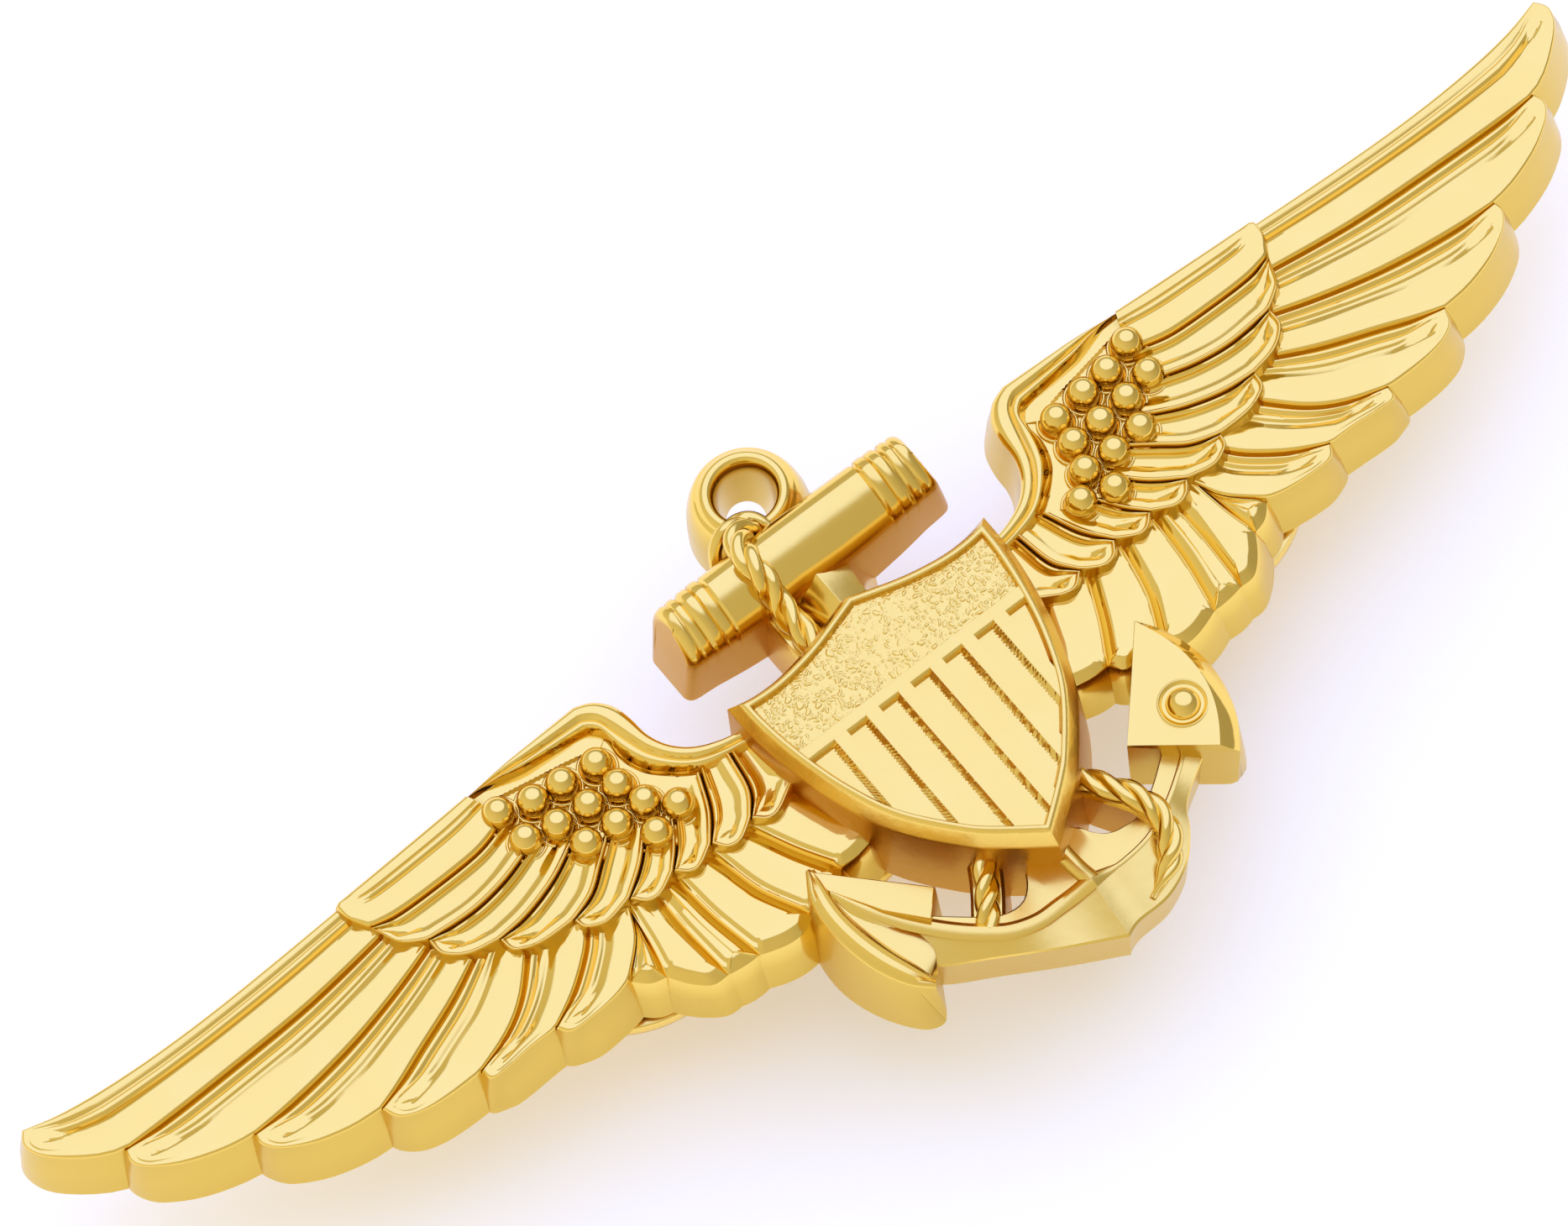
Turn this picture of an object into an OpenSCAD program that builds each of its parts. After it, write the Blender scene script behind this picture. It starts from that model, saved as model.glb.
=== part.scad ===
// Naval pilot wings pin: two cast wings, a striped shield and a roped anchor,
// joined on the bench and held to cloth by three posts with butterfly clutches.
// Millimetres, +X to the wearer's left wing tip, +Y up the badge, +Z out of its front.

/* [Badge] */
// Height of the badge's flat back above what the clutches stand on
back_height = 5.2; // [5:0.1:7]
// Thickness of the wing feathers
feather_height = 2.3; // [1.8:0.1:2.4]
// Thickness at the second row of feathers
covert_height = 2.8; // [2.5:0.1:3]
// Thickness at the rolled moulding along the shoulder
moulding_height = 3.05; // [2.8:0.05:3.3]
// Diameter of the shoulder beads
bead_diameter = 1.33; // [1:0.01:1.33]
// Width of the grooves cut between feathers
groove_width = 0.16; // [0.1:0.02:0.2]

/* [Shield] */
// Thickness of the shield at its rim
shield_height = 4.95; // [4.6:0.05:5.3]
// Depth of the sunk top field and stripes
shield_recess = 0.3; // [0.2:0.05:0.5]
// Distance from stripe to stripe
stripe_pitch = 1.47; // [1.4:0.01:1.5]
// Width of one sunk stripe
stripe_width = 0.9; // [0.7:0.05:1]

/* [Anchor] */
// Length of the anchor's crossbar at its back
stock_length = 12; // [11:0.1:12.4]
// Width of the crossbar up the badge
stock_width = 2.6; // [2.4:0.05:2.8]
// Radius of the crossbar's rounded front
stock_front_radius = 1.55; // [1.45:0.05:1.8]
// Height of the crossbar's rounded front
stock_height = 4.3; // [4:0.05:4.5]
// Outer diameter of the ring at the back
ring_diameter = 4.6; // [4.2:0.1:4.6]
// Thickness of the ring
ring_height = 3.3; // [3:0.1:3.5]
// Thickness of the arms and the crown
arm_height = 2.4; // [2:0.1:2.6]
// Thickness of the two palms
fluke_height = 3.4; // [3:0.1:3.6]
// Diameter of the rope
rope_diameter = 1; // [0.8:0.05:1]

/* [Posts and clutches] */
// Diameter of a fixing post
post_diameter = 1.1; // [1:0.05:1.2]
// Diameter of the solder pad at a post's root
pad_diameter = 3; // [2.4:0.1:3.2]
// Thickness of the solder pad
pad_thickness = 0.3; // [0.2:0.05:0.3]
// Diameter of a clutch's round flange
flange_diameter = 10; // [9:0.2:10.4]
// Thickness of the flange
flange_thickness = 0.4; // [0.3:0.05:0.45]
// Outer diameter of the closed barrel that the post enters
barrel_diameter = 3.4; // [3:0.1:3.6]
// Width of a squeeze ear at its outer end
ear_width = 4.6; // [4:0.1:5]
// Length of a squeeze ear from its hinge
ear_length = 3; // [2.6:0.1:3.2]
// Slope of a relaxed ear away from the flange, in degrees
ear_slope = 38; // [34:1:42]

/* [Hidden] */
clutches = ["left", "right", "centre"];
round_fn = 48;

// The badge is drawn with y = 0 at the shield's middle, and moved so that its box is centred.
crown_tip_y = -9.9;
ring_y = 12.5;
ring_top_y = ring_y + ring_diameter / 2;
centre_shift_y = -(crown_tip_y + ring_top_y) / 2;

// Where the posts stand on the back, in the drawing's own coordinates
post_spots = [[-12.8, 4.1], [12.8, 4.1], [0, 1.6]];

// Levels of a clutch above the floor
pad_under = back_height - pad_thickness;
flange_top = pad_under - 0.1;
flange_under = flange_top - flange_thickness;
hinge_level = flange_under - 0.65;
hinge_reach = 2.75;
post_tip_level = 0.6;
post_clearance = 0.07;
bore_d = post_diameter + 2 * post_clearance;
trunnion_r = 0.24;
trunnion_clearance = 0.06;
knuckle_r = 0.42;
knuckle_half = 1.35;
lug_near = knuckle_half + 0.15;
lug_thickness = 0.6;

// ---- curves -------------------------------------------------------------------------------
// A smooth curve through the given points, with a few steps between each pair
function curve_point(a, b, c, d, t) =
    0.5 * (2 * b + (c - a) * t + (2 * a - 5 * b + 4 * c - d) * t * t
        + (3 * b - a - 3 * c + d) * t * t * t);
function curve(p, steps = 4) = [
    for (i = [0:len(p) - 2], s = [0:steps - 1])
        curve_point(p[max(i - 1, 0)], p[i], p[i + 1], p[min(i + 2, len(p) - 1)], s / steps),
    p[len(p) - 1]
];
function backwards(p) = [for (i = [len(p) - 1:-1:0]) p[i]];
function mirrored(p) = [for (q = backwards(p)) [-q.x, q.y]];
function without_last(p) = [for (i = [0:len(p) - 2]) p[i]];
function joined(curves) = [for (c = curves) for (q = without_last(c)) q];
function side(p, i) =
    let (a = p[max(i - 1, 0)], b = p[min(i + 1, len(p) - 1)], d = b - a)
    [-d.y, d.x] / norm(d);
// A band of even width along a curve
function band(p, width) = concat(
    [for (i = [0:len(p) - 1]) p[i] + side(p, i) * width / 2],
    [for (i = [len(p) - 1:-1:0]) p[i] - side(p, i) * width / 2]);

// ---- wing outlines, for the wing on +X ----------------------------------------------------
leading_edge = curve([[34.9, 9.75], [33.5, 9.45], [31.5, 9.2], [29, 9.07], [26, 9.1],
    [21, 9.35], [15, 9.7], [9.9, 9.97]]);
shoulder = curve([[9.9, 9.97], [9.2, 9.7], [8.7, 9.1], [8.5, 8.3], [8.45, 7.5], [8.2, 6.75],
    [7.75, 6.15], [7.2, 5.75], [6.5, 5.45], [5.9, 5.3], [5.2, 5]]);
// Rounded ends of the twelve flight feathers, from the wing tip inwards
feather_ends = [
    [[34.9, 9.75], [35.2, 9.2], [34.9, 8.45], [34.2, 7.75], [33.3, 7.1], [32.45, 6.72]],
    [[32.45, 6.72], [32.55, 6.2], [32.1, 5.6], [31, 4.9], [29.6, 4.4], [28.5, 4.2]],
    [[28.5, 4.2], [28.55, 3.8], [28.1, 3.2], [27, 2.55], [25.6, 2.15], [24.4, 2.05]],
    [[24.4, 2.05], [24.1, 1.4], [23.2, 1], [22, 0.88], [20.8, 0.9]],
    [[20.8, 0.9], [20.7, 0.45], [20, 0.4], [18.8, 0.5], [17.75, 0.5]],
    [[17.75, 0.5], [17.4, 0.05], [16.4, 0], [15.3, 0.1], [14.6, 0.3]],
    [[14.6, 0.3], [14.1, -0.2], [13.5, -0.4]],
    [[13.5, -0.4], [13, -1.15], [12.4, -1.7], [11.75, -1.75]],
    [[11.75, -1.75], [11.1, -1.85], [10.4, -1.88]],
    [[10.4, -1.88], [9.4, -2.2], [8.6, -2.2], [8, -1.85]],
    [[8, -1.85], [7.2, -1.7], [6.5, -1.6], [6.1, -1.1]],
    [[6.1, -1.1], [5.4, -1.1], [4.3, -0.85], [4, -0.6]]
];
// Seams between neighbouring flight feathers, from the covert row out to each notch
feather_seams = [
    [[20.5, 7.45], [24, 7], [28, 6.8], [31, 6.72], [32.6, 6.72]],
    [[19.6, 5.95], [21, 5.48], [23, 4.93], [25, 4.55], [27, 4.3], [28.7, 4.15]],
    [[18.4, 4.6], [20, 3.8], [22, 3], [23.3, 2.45], [24.6, 1.95]],
    [[16.8, 3.6], [18, 2.3], [19.2, 1.5], [21, 0.8]],
    [[14.6, 2.9], [15.2, 2.2], [16.4, 1.25], [17.9, 0.4]],
    [[13, 2.3], [13.5, 1.35], [14.75, 0.15]],
    [[13.1, 1.9], [13.25, 0.8], [13.55, -0.6]],
    [[11.9, 1.9], [11.9, 0.5], [11.75, -1.95]],
    [[10.95, 1.8], [10.8, 0.2], [10.4, -2.1]],
    [[9.3, 1.7], [8.9, 0], [7.9, -2.05]],
    [[7.5, 1.6], [6.9, 0.3], [6, -1.3]]
];
// Rounded ends of the nine coverts, from the outer end of the row inwards
covert_ends = [
    [[21.2, 9.3], [21.15, 8.6], [20.85, 8], [20.7, 7.6]],
    [[20.7, 7.6], [20.3, 6.75], [19.9, 6.33], [19.35, 5.95]],
    [[19.35, 5.95], [19.3, 5.25], [18.5, 4.6], [17.35, 4.35]],
    [[17.35, 4.35], [17.2, 3.68], [16.2, 3.26], [14.85, 3.22]],
    [[14.85, 3.22], [14.7, 2.73], [13.9, 2.38], [12.8, 2.6]],
    [[12.8, 2.6], [12.4, 2.12], [11.8, 2], [10.95, 2.42]],
    [[10.95, 2.42], [10.5, 2], [10, 1.97], [9.25, 2.4]],
    [[9.25, 2.4], [8.9, 1.9], [8.3, 1.8], [7.55, 2.25]],
    [[7.55, 2.25], [7.1, 1.83], [6.5, 1.85], [5.2, 2.6]]
];
// Seams between neighbouring coverts
covert_seams = [
    [[14.8, 7.9], [16, 7.6], [18, 7.52], [19.6, 7.55], [20.8, 7.75]],
    [[14.8, 6.4], [16, 6.05], [17.5, 5.87], [19.5, 6.05]],
    [[13.4, 5.5], [14.5, 4.95], [16, 4.5], [17.5, 4.35]],
    [[12.1, 4.9], [12.8, 4.35], [13.7, 3.65], [15, 3.15]],
    [[11, 4.1], [11.7, 3.4], [12.95, 2.5]],
    [[9.8, 3.9], [10.3, 3.15], [11.1, 2.25]],
    [[8.05, 4.5], [8.5, 3.45], [9.35, 2.2]],
    [[6.65, 4.5], [6.9, 3.2], [7.65, 2.1]]
];
bead_spots = [[10.59, 7.55], [12, 7.75], [13.21, 7.88], [14.47, 8.31],
    [10.49, 6.4], [11.77, 6.44], [13.08, 6.57], [14.31, 6.85],
    [10.12, 5.26], [11.41, 5.19], [12.72, 5.3], [9.24, 4.38], [10.51, 4]];
wing_edge = joined([for (e = feather_ends) curve(e)]);
wing_outline = concat(without_last(leading_edge), shoulder,
    without_last(backwards(wing_edge)));
covert_edge = joined([for (e = covert_ends) curve(e)]);
covert_outline = concat(
    [for (q = without_last(leading_edge)) if (q.x < 21.2) q], shoulder,
    backwards(covert_edge));

// The rolled moulding runs from the leading edge round the shoulder to the shield.
moulding_inside = curve([[14.6, 9.35], [12, 9], [10.1, 8.8], [9.75, 8.3], [9.75, 7.3],
    [9.45, 6.4], [8.9, 5.75], [8.1, 5.1], [7.2, 4.75], [5.2, 4.5]]);
moulding_outline = concat([for (q = without_last(leading_edge)) if (q.x < 15.2) q], shoulder,
    backwards(moulding_inside));

// ---- shield and anchor outlines -----------------------------------------------------------
shield_top = curve([[0, 6.2], [1, 5.87], [2, 5.55], [3, 5.32], [4, 5.2], [5, 5.23],
    [5.85, 5.42]]);
shield_side = curve([[5.85, 5.42], [5.82, 4], [5.52, 2], [5, 0], [4.15, -2], [2.65, -4],
    [1.6, -5], [0, -6.25]]);
shield_half = concat(without_last(shield_top), shield_side);
shield_outline = concat(shield_half, mirrored([for (q = shield_half) if (q.x > 0) q]));
// The rim is the outline drawn smaller about a point inside the shield
rim_share = 0.87;

left_fluke_outline = concat(
    curve([[-7.35, -0.85], [-7.95, -1.7], [-8.4, -2.9], [-8.5, -3.9], [-8.25, -5.2],
        [-7.6, -6.5], [-6.75, -7.35]]),
    [[-6.4, -7.3], [-5.8, -6.4], [-5.1, -5.25], [-4.2, -4.35]]);
right_fluke_outline = concat(
    curve([[7.7, -0.75], [8.3, -1.5], [8.7, -2.6], [8.75, -3.7], [8.5, -5], [8.1, -6],
        [7.5, -6.9]]),
    [[7, -7.2], [6.2, -6.6], [5.6, -5.4], [4.45, -4.4]]);
crown_outline = concat(
    [[-6.4, -6.1], [0, crown_tip_y]],
    curve([[0.8, -9.6], [2.2, -9.6], [3.5, -9], [4.4, -8], [5, -7.1]]),
    [[6.6, -6.1]],
    curve([[5.3, -5.2], [4.4, -5.9], [3.3, -6.5], [2.4, -6.45], [1.6, -5.9], [1.3, -4.5]]),
    curve([[-1.3, -4.5], [-1.35, -5.9], [-2.1, -6.4], [-3, -6.3], [-4.2, -5.5],
        [-5, -4.9]]));
neck_half = 1.5;
bar_height = 1.9;

// Centre lines of the three visible runs of rope, each point at its height above the back
top_rope_run = [[-0.5, 11.3, 3.5], [-1.1, 11.45, 3.7], [-1.6, 10.9, 4.1], [-1.8, 9.9, 4.6],
    [-1.8, 9, 4.6], [-1.8, 8, 3.9], [-1.75, 7.2, 3.3], [-1.75, 6.1, 3.1]];
left_rope_run = [[-2.5, -4.9, 2.7], [-2.8, -5.4, 2.75], [-3.4, -6.1, 2.8]];
right_rope_run = [[2.8, -4.8, 2.7], [3.15, -5.3, 2.8], [3.6, -6.2, 3], [3.75, -7.2, 3],
    [3.4, -8.1, 2.9], [2.7, -8.75, 2.8], [1.8, -9.2, 2.7]];

// ---- shared helpers -----------------------------------------------------------------------
module on_badge() {
    translate([0, centre_shift_y, back_height]) children();
}

module slab(outline, height) {
    linear_extrude(height) polygon(outline);
}

module groove(line, floor_level) {
    translate([0, 0, floor_level]) linear_extrude(3) polygon(band(curve(line), groove_width));
}

// A round rope swept along its run as one closed skin
module rope_run(points) {
    sides = 10;
    run = curve(points, 3);
    last = len(run) - 1;
    ring = [for (i = [0:last])
        let (d = run[min(i + 1, last)] - run[max(i - 1, 0)],
            ahead = d / norm(d),
            across = cross(ahead, [0, 0, 1]) / norm(cross(ahead, [0, 0, 1])),
            up = cross(across, ahead))
        for (k = [0:sides - 1])
            run[i] + rope_diameter / 2 * (cos(360 * k / sides) * across
                + sin(360 * k / sides) * up)];
    skin = [for (i = [0:last - 1], k = [0:sides - 1])
        let (n = (k + 1) % sides)
        [i * sides + k, i * sides + n, (i + 1) * sides + n, (i + 1) * sides + k]];
    start_cap = [[for (k = [sides - 1:-1:0]) k]];
    end_cap = [[for (k = [0:sides - 1]) last * sides + k]];
    color("gold") on_badge() polyhedron(ring, concat(start_cap, skin, end_cap));
}

// ---- wings --------------------------------------------------------------------------------
module wing_body() {
    difference() {
        union() {
            slab(wing_outline, feather_height);
            slab(covert_outline, covert_height);
            slab(moulding_outline, moulding_height);
            for (spot = bead_spots)
                translate([spot.x, spot.y, covert_height + 0.1])
                    sphere(d = bead_diameter, $fn = round_fn);
        }
        for (line = feather_seams) groove(line, feather_height - 0.4);
        for (line = covert_seams) groove(line, covert_height - 0.4);
        translate([0, 0, -1]) slab(shield_outline, shield_height + 2);
    }
}

module right_wing() {
    color("gold") on_badge() difference() {
        wing_body();
        translate([0, 0, -1]) slab(right_fluke_outline, fluke_height + 2);
    }
}

module left_wing() {
    color("gold") on_badge() difference() {
        mirror([1, 0, 0]) wing_body();
        translate([0, 0, -1]) slab(left_fluke_outline, fluke_height + 2);
    }
}

// ---- shield -------------------------------------------------------------------------------
module shield() {
    stripe_top = 1.85;
    field_bottom = 2.3;
    sunk = shield_height - shield_recess;
    color("khaki") on_badge() difference() {
        slab(shield_outline, shield_height);
        // sunk top field
        translate([0, 0, sunk]) linear_extrude(1) intersection() {
            scale(rim_share) polygon(shield_outline);
            translate([-6, field_bottom]) square([12, 6]);
        }
        // sunk stripes
        translate([0, 0, sunk]) linear_extrude(1) intersection() {
            scale(rim_share) polygon(shield_outline);
            for (i = [-3:3])
                translate([i * stripe_pitch - stripe_width / 2, -7])
                    square([stripe_width, 7 + stripe_top]);
        }
        // channel behind, for the anchor's shank
        translate([-neck_half, -8, -1]) cube([2 * neck_half, 16, bar_height + 1]);
    }
}

// ---- anchor -------------------------------------------------------------------------------
module stock_body() {
    stock_low = 8.15;
    front_level = stock_height - stock_front_radius;
    groove_spots = [3.75, 4.35, 4.95];
    difference() {
        translate([-stock_length / 2, stock_low + stock_width / 2, 0]) rotate([90, 0, 90])
            linear_extrude(stock_length) union() {
                translate([-stock_width / 2, 0]) square([stock_width, front_level]);
                intersection() {
                    translate([0, front_level]) circle(r = stock_front_radius, $fn = round_fn);
                    translate([-stock_width / 2, 0]) square([stock_width, stock_height]);
                }
            }
        for (x = groove_spots, way = [-1, 1])
            translate([way * x - 0.08, stock_low + stock_width / 2, front_level])
                rotate([0, 90, 0]) difference() {
                    cylinder(r = stock_front_radius + 0.5, h = 0.16, $fn = round_fn);
                    translate([0, 0, -1])
                        cylinder(r = stock_front_radius - 0.12, h = 3, $fn = round_fn);
                    translate([0, -3, -1]) cube([6, 6, 3]);
                }
    }
}

module anchor_stock() {
    color("gold") on_badge() stock_body();
}

module anchor_ring() {
    color("gold") on_badge() difference() {
        translate([0, ring_y, 0])
            cylinder(d1 = ring_diameter, d2 = ring_diameter - 0.9, h = ring_height, $fn = round_fn);
        translate([0, ring_y + 0.15, -1]) cylinder(r = 1.1, h = 6, $fn = round_fn);
        translate([-6, 8, -1]) cube([12, 2.75, 8]);
    }
}

module shank_body() {
    // neck with a ridge, seen between the shield and the crossbar
    translate([0, 8.15, 0]) rotate([90, 0, 0]) linear_extrude(2.6)
        polygon([[-neck_half, 0], [neck_half, 0], [1.1, 2.6], [0, 3.3], [-1.1, 2.6]]);
    translate([-neck_half, -5, 0]) cube([2 * neck_half, 11.5, bar_height]);
    slab(crown_outline, arm_height);
    // pedestals under the three runs of rope
    for (run = [left_rope_run, right_rope_run]) {
        flat = [for (i = [0:2]) [run[i].x, run[i].y]];
        start = flat[0] - 1.2 * (flat[1] - flat[0]) / norm(flat[1] - flat[0]);
        end = flat[2] + 0.9 * (flat[2] - flat[1]) / norm(flat[2] - flat[1]);
        slab(band([start, flat[1], end], rope_diameter), arm_height);
    }
    translate([-2.4, 5, 0]) cube([1.2, 3.15, 2.6]);
}

module anchor_shank() {
    color("gold") on_badge() difference() {
        shank_body();
        difference() {
            translate([0, 0, -1]) slab(shield_outline, shield_height + 2);
            translate([-neck_half, -8, -1]) cube([2 * neck_half, 16, bar_height + 1]);
        }
        translate([0, 0, -1]) slab(left_fluke_outline, fluke_height + 2);
        translate([0, 0, -1]) slab(right_fluke_outline, fluke_height + 2);
    }
}

module left_fluke() {
    color("gold") on_badge() slab(left_fluke_outline, fluke_height);
}

module right_fluke() {
    dome = [7, -4.4];
    color("gold") on_badge() {
        slab(right_fluke_outline, fluke_height - 0.1);
        translate([dome.x, dome.y, fluke_height - 0.3]) sphere(r = 0.55, $fn = round_fn);
    }
}

// ---- rope ---------------------------------------------------------------------------------
module rope_top() {
    rope_run(top_rope_run);
}

module rope_left() {
    rope_run(left_rope_run);
}

module rope_right() {
    rope_run(right_rope_run);
}

// ---- posts --------------------------------------------------------------------------------
module post(spot) {
    point_length = 0.8;
    color("goldenrod") translate([spot.x, spot.y + centre_shift_y, 0]) {
        translate([0, 0, pad_under])
            cylinder(d = pad_diameter, h = pad_thickness, $fn = round_fn);
        translate([0, 0, post_tip_level + point_length])
            cylinder(d = post_diameter, h = pad_under - post_tip_level - point_length,
                $fn = round_fn);
        translate([0, 0, post_tip_level])
            cylinder(d1 = 0.3, d2 = post_diameter, h = point_length, $fn = round_fn);
    }
}

// ---- clutches -----------------------------------------------------------------------------
module at_clutch(spot) {
    translate([spot.x, spot.y + centre_shift_y, 0]) children();
}

module flange(spot) {
    lug_drop = flange_under - hinge_level + 0.5;
    rim = 0.35;
    color("gold") at_clutch(spot) difference() {
        union() {
            translate([0, 0, flange_under])
                cylinder(d = flange_diameter, h = flange_thickness, $fn = round_fn);
            // turned-down rim
            translate([0, 0, flange_under - 0.25]) difference() {
                cylinder(d = flange_diameter, h = 0.3, $fn = round_fn);
                translate([0, 0, -1]) cylinder(d = flange_diameter - 2 * rim, h = 2,
                    $fn = round_fn);
            }
            // lugs that hold the ears' trunnions
            for (way = [-1, 1], end = [0, 1])
                mirror([0, end, 0])
                    translate([way * hinge_reach - 0.45, lug_near, flange_under - lug_drop])
                        cube([0.9, lug_thickness, lug_drop + 0.1]);
        }
        translate([0, 0, -1]) cylinder(d = bore_d, h = 10, $fn = round_fn);
        for (way = [-1, 1])
            translate([way * hinge_reach, 0, hinge_level]) rotate([90, 0, 0])
                translate([0, 0, -4])
                    cylinder(r = trunnion_r + trunnion_clearance, h = 8, $fn = round_fn);
    }
}

module barrel(spot) {
    slot_half = 0.6;
    color("gold") at_clutch(spot) difference() {
        cylinder(d = barrel_diameter, h = flange_under, $fn = round_fn);
        translate([0, 0, 0.4]) cylinder(d = post_diameter + 0.5, h = 10, $fn = round_fn);
        // slots that the ears' jaws reach in through
        translate([-5, -slot_half, hinge_level - 0.4]) cube([10, 2 * slot_half, 3]);
    }
}

// One squeeze ear on the +X side: trunnions, knuckle, sloping plate and inward jaw
module ear_body() {
    plate = 0.35;
    jaw_tip = post_diameter / 2 + 0.08;
    jaw_half = 0.45;
    translate([hinge_reach, 0, hinge_level]) {
        rotate([90, 0, 0]) translate([0, 0, -knuckle_half])
            cylinder(r = knuckle_r, h = 2 * knuckle_half, $fn = round_fn);
        rotate([90, 0, 0]) translate([0, 0, -lug_near - lug_thickness])
            cylinder(r = trunnion_r, h = 2 * (lug_near + lug_thickness), $fn = round_fn);
        rotate([0, ear_slope, 0]) {
            translate([0, -knuckle_half, -plate / 2]) cube([1.2, 2 * knuckle_half, plate]);
            translate([0, 0, -plate / 2]) linear_extrude(plate) intersection() {
                translate([1, -ear_width / 2]) square([ear_length - 1, ear_width]);
                translate([ear_length - 3.4, 0]) circle(r = 3.4, $fn = round_fn);
            }
        }
    }
    translate([jaw_tip, -jaw_half, hinge_level - 0.15])
        cube([hinge_reach - jaw_tip, 2 * jaw_half, 0.3]);
}

// way is 1 for the ear on +X and -1 for the ear on -X
module ear(spot, way) {
    color("goldenrod") at_clutch(spot) mirror([way < 0 ? 1 : 0, 0, 0]) ear_body();
}

left_wing();
right_wing();
shield();
anchor_shank();
left_fluke();
right_fluke();
anchor_stock();
anchor_ring();
rope_top();
rope_left();
rope_right();
for (i = [0:2]) {
    post(post_spots[i]);
    flange(post_spots[i]);
    barrel(post_spots[i]);
    ear(post_spots[i], i == 0 ? 1 : -1);
    ear(post_spots[i], i == 0 ? -1 : 1);
}
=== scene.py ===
"""Pilot wings pin: the looks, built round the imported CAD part.

Shapes are drawn in badge millimetres: x along the wings, y up the badge from the middle of the
shield, z out of the badge's flat back. in_frame() turns them into the frame's metres.
"""

import math

import bmesh
import bpy
import numpy as np
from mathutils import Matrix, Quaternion, Vector, noise


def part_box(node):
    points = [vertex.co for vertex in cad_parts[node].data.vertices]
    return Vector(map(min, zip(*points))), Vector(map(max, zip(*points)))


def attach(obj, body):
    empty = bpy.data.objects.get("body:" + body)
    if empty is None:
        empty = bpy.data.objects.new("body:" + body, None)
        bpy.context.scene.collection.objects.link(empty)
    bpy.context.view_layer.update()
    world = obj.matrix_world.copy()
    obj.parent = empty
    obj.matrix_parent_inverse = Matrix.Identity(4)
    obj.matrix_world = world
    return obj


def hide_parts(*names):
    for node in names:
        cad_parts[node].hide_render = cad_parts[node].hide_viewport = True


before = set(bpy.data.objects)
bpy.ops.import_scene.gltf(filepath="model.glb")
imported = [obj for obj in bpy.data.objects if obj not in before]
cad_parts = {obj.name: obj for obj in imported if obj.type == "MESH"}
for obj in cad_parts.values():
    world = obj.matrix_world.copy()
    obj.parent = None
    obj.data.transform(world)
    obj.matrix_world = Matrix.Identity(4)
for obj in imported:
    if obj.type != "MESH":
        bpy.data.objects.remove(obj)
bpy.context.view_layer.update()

MM = 0.001
SHIELD_TIP_Y = -6.25
BACK_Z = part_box("left_wing")[0].z
CENTRE_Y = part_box("shield")[0].y - SHIELD_TIP_Y * MM


# ---- lines ----
def curve(points, steps=6):
    """A smooth curve through the points."""
    p = np.array(points, float)
    out = []
    for i in range(len(p) - 1):
        a, b, c, d = p[max(i - 1, 0)], p[i], p[i + 1], p[min(i + 2, len(p) - 1)]
        for t in np.arange(steps) / steps:
            square = (2 * a - 5 * b + 4 * c - d) * t * t
            cube = (3 * b - a - 3 * c + d) * t**3
            out.append((2 * b + (c - a) * t + square + cube) / 2)
    return np.array(out + [p[-1]])


def lengths(line):
    """How far along the line each of its points is."""
    steps = np.linalg.norm(np.diff(line, axis=0), axis=1)
    return np.concatenate([[0], np.cumsum(steps)])


def at(line, shares):
    """Points at these shares of the line's length."""
    run = lengths(line)
    wanted = np.asarray(shares) * run[-1]
    return np.column_stack([np.interp(wanted, run, line[:, i]) for i in range(line.shape[1])])


def cut(line, start, end, count=12):
    """The stretch of a line between two shares of its length."""
    return at(line, np.linspace(start, end, count))


def join(*lines):
    """One line out of several, without the points that repeat."""
    out = [np.array(lines[0][0], float)]
    for line in lines:
        for p in np.array(line, float):
            if np.linalg.norm(p - out[-1]) > 1e-4:
                out.append(p)
    return np.array(out)


def longer(line, extra):
    """The line with its start moved back by some millimetres."""
    way = (line[0] - line[1]) / np.linalg.norm(line[0] - line[1])
    return np.vstack([line[0] + way * extra, line])


def sideways(line):
    """The unit vector to the left of the line at each of its points."""
    ahead = np.gradient(line, axis=0)
    left = np.column_stack([-ahead[:, 1], ahead[:, 0]])
    return left / np.maximum(np.linalg.norm(left, axis=1), 1e-9)[:, None]


def inset(line, distance):
    """A closed line moved to its left, with its corners kept sharp."""
    before = line - np.roll(line, 1, axis=0)
    after = np.roll(line, -1, axis=0) - line
    a = np.column_stack([-before[:, 1], before[:, 0]]) / np.linalg.norm(before, axis=1)[:, None]
    b = np.column_stack([-after[:, 1], after[:, 0]]) / np.linalg.norm(after, axis=1)[:, None]
    middle = a + b
    return line + distance * 2 * middle / np.maximum((middle**2).sum(1), 0.5)[:, None]


def lift(line, z):
    """A flat line at a height, or at a height for each point."""
    return np.column_stack([line[:, :2], np.full(len(line), 1.0) * z])


def smooth(value):
    """An eased step: 0 below 0, 1 above 1."""
    value = np.clip(value, 0, 1)
    return value * value * (3 - 2 * value)


def circle(count):
    """Angles evenly round a full turn."""
    return np.linspace(0, 2 * math.pi, count + 1)[:-1]


def in_frame(point):
    """A point in badge millimetres, in the frame's metres."""
    x, y, z = point
    return Vector((x * MM, y * MM + CENTRE_Y, z * MM + BACK_Z))


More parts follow.
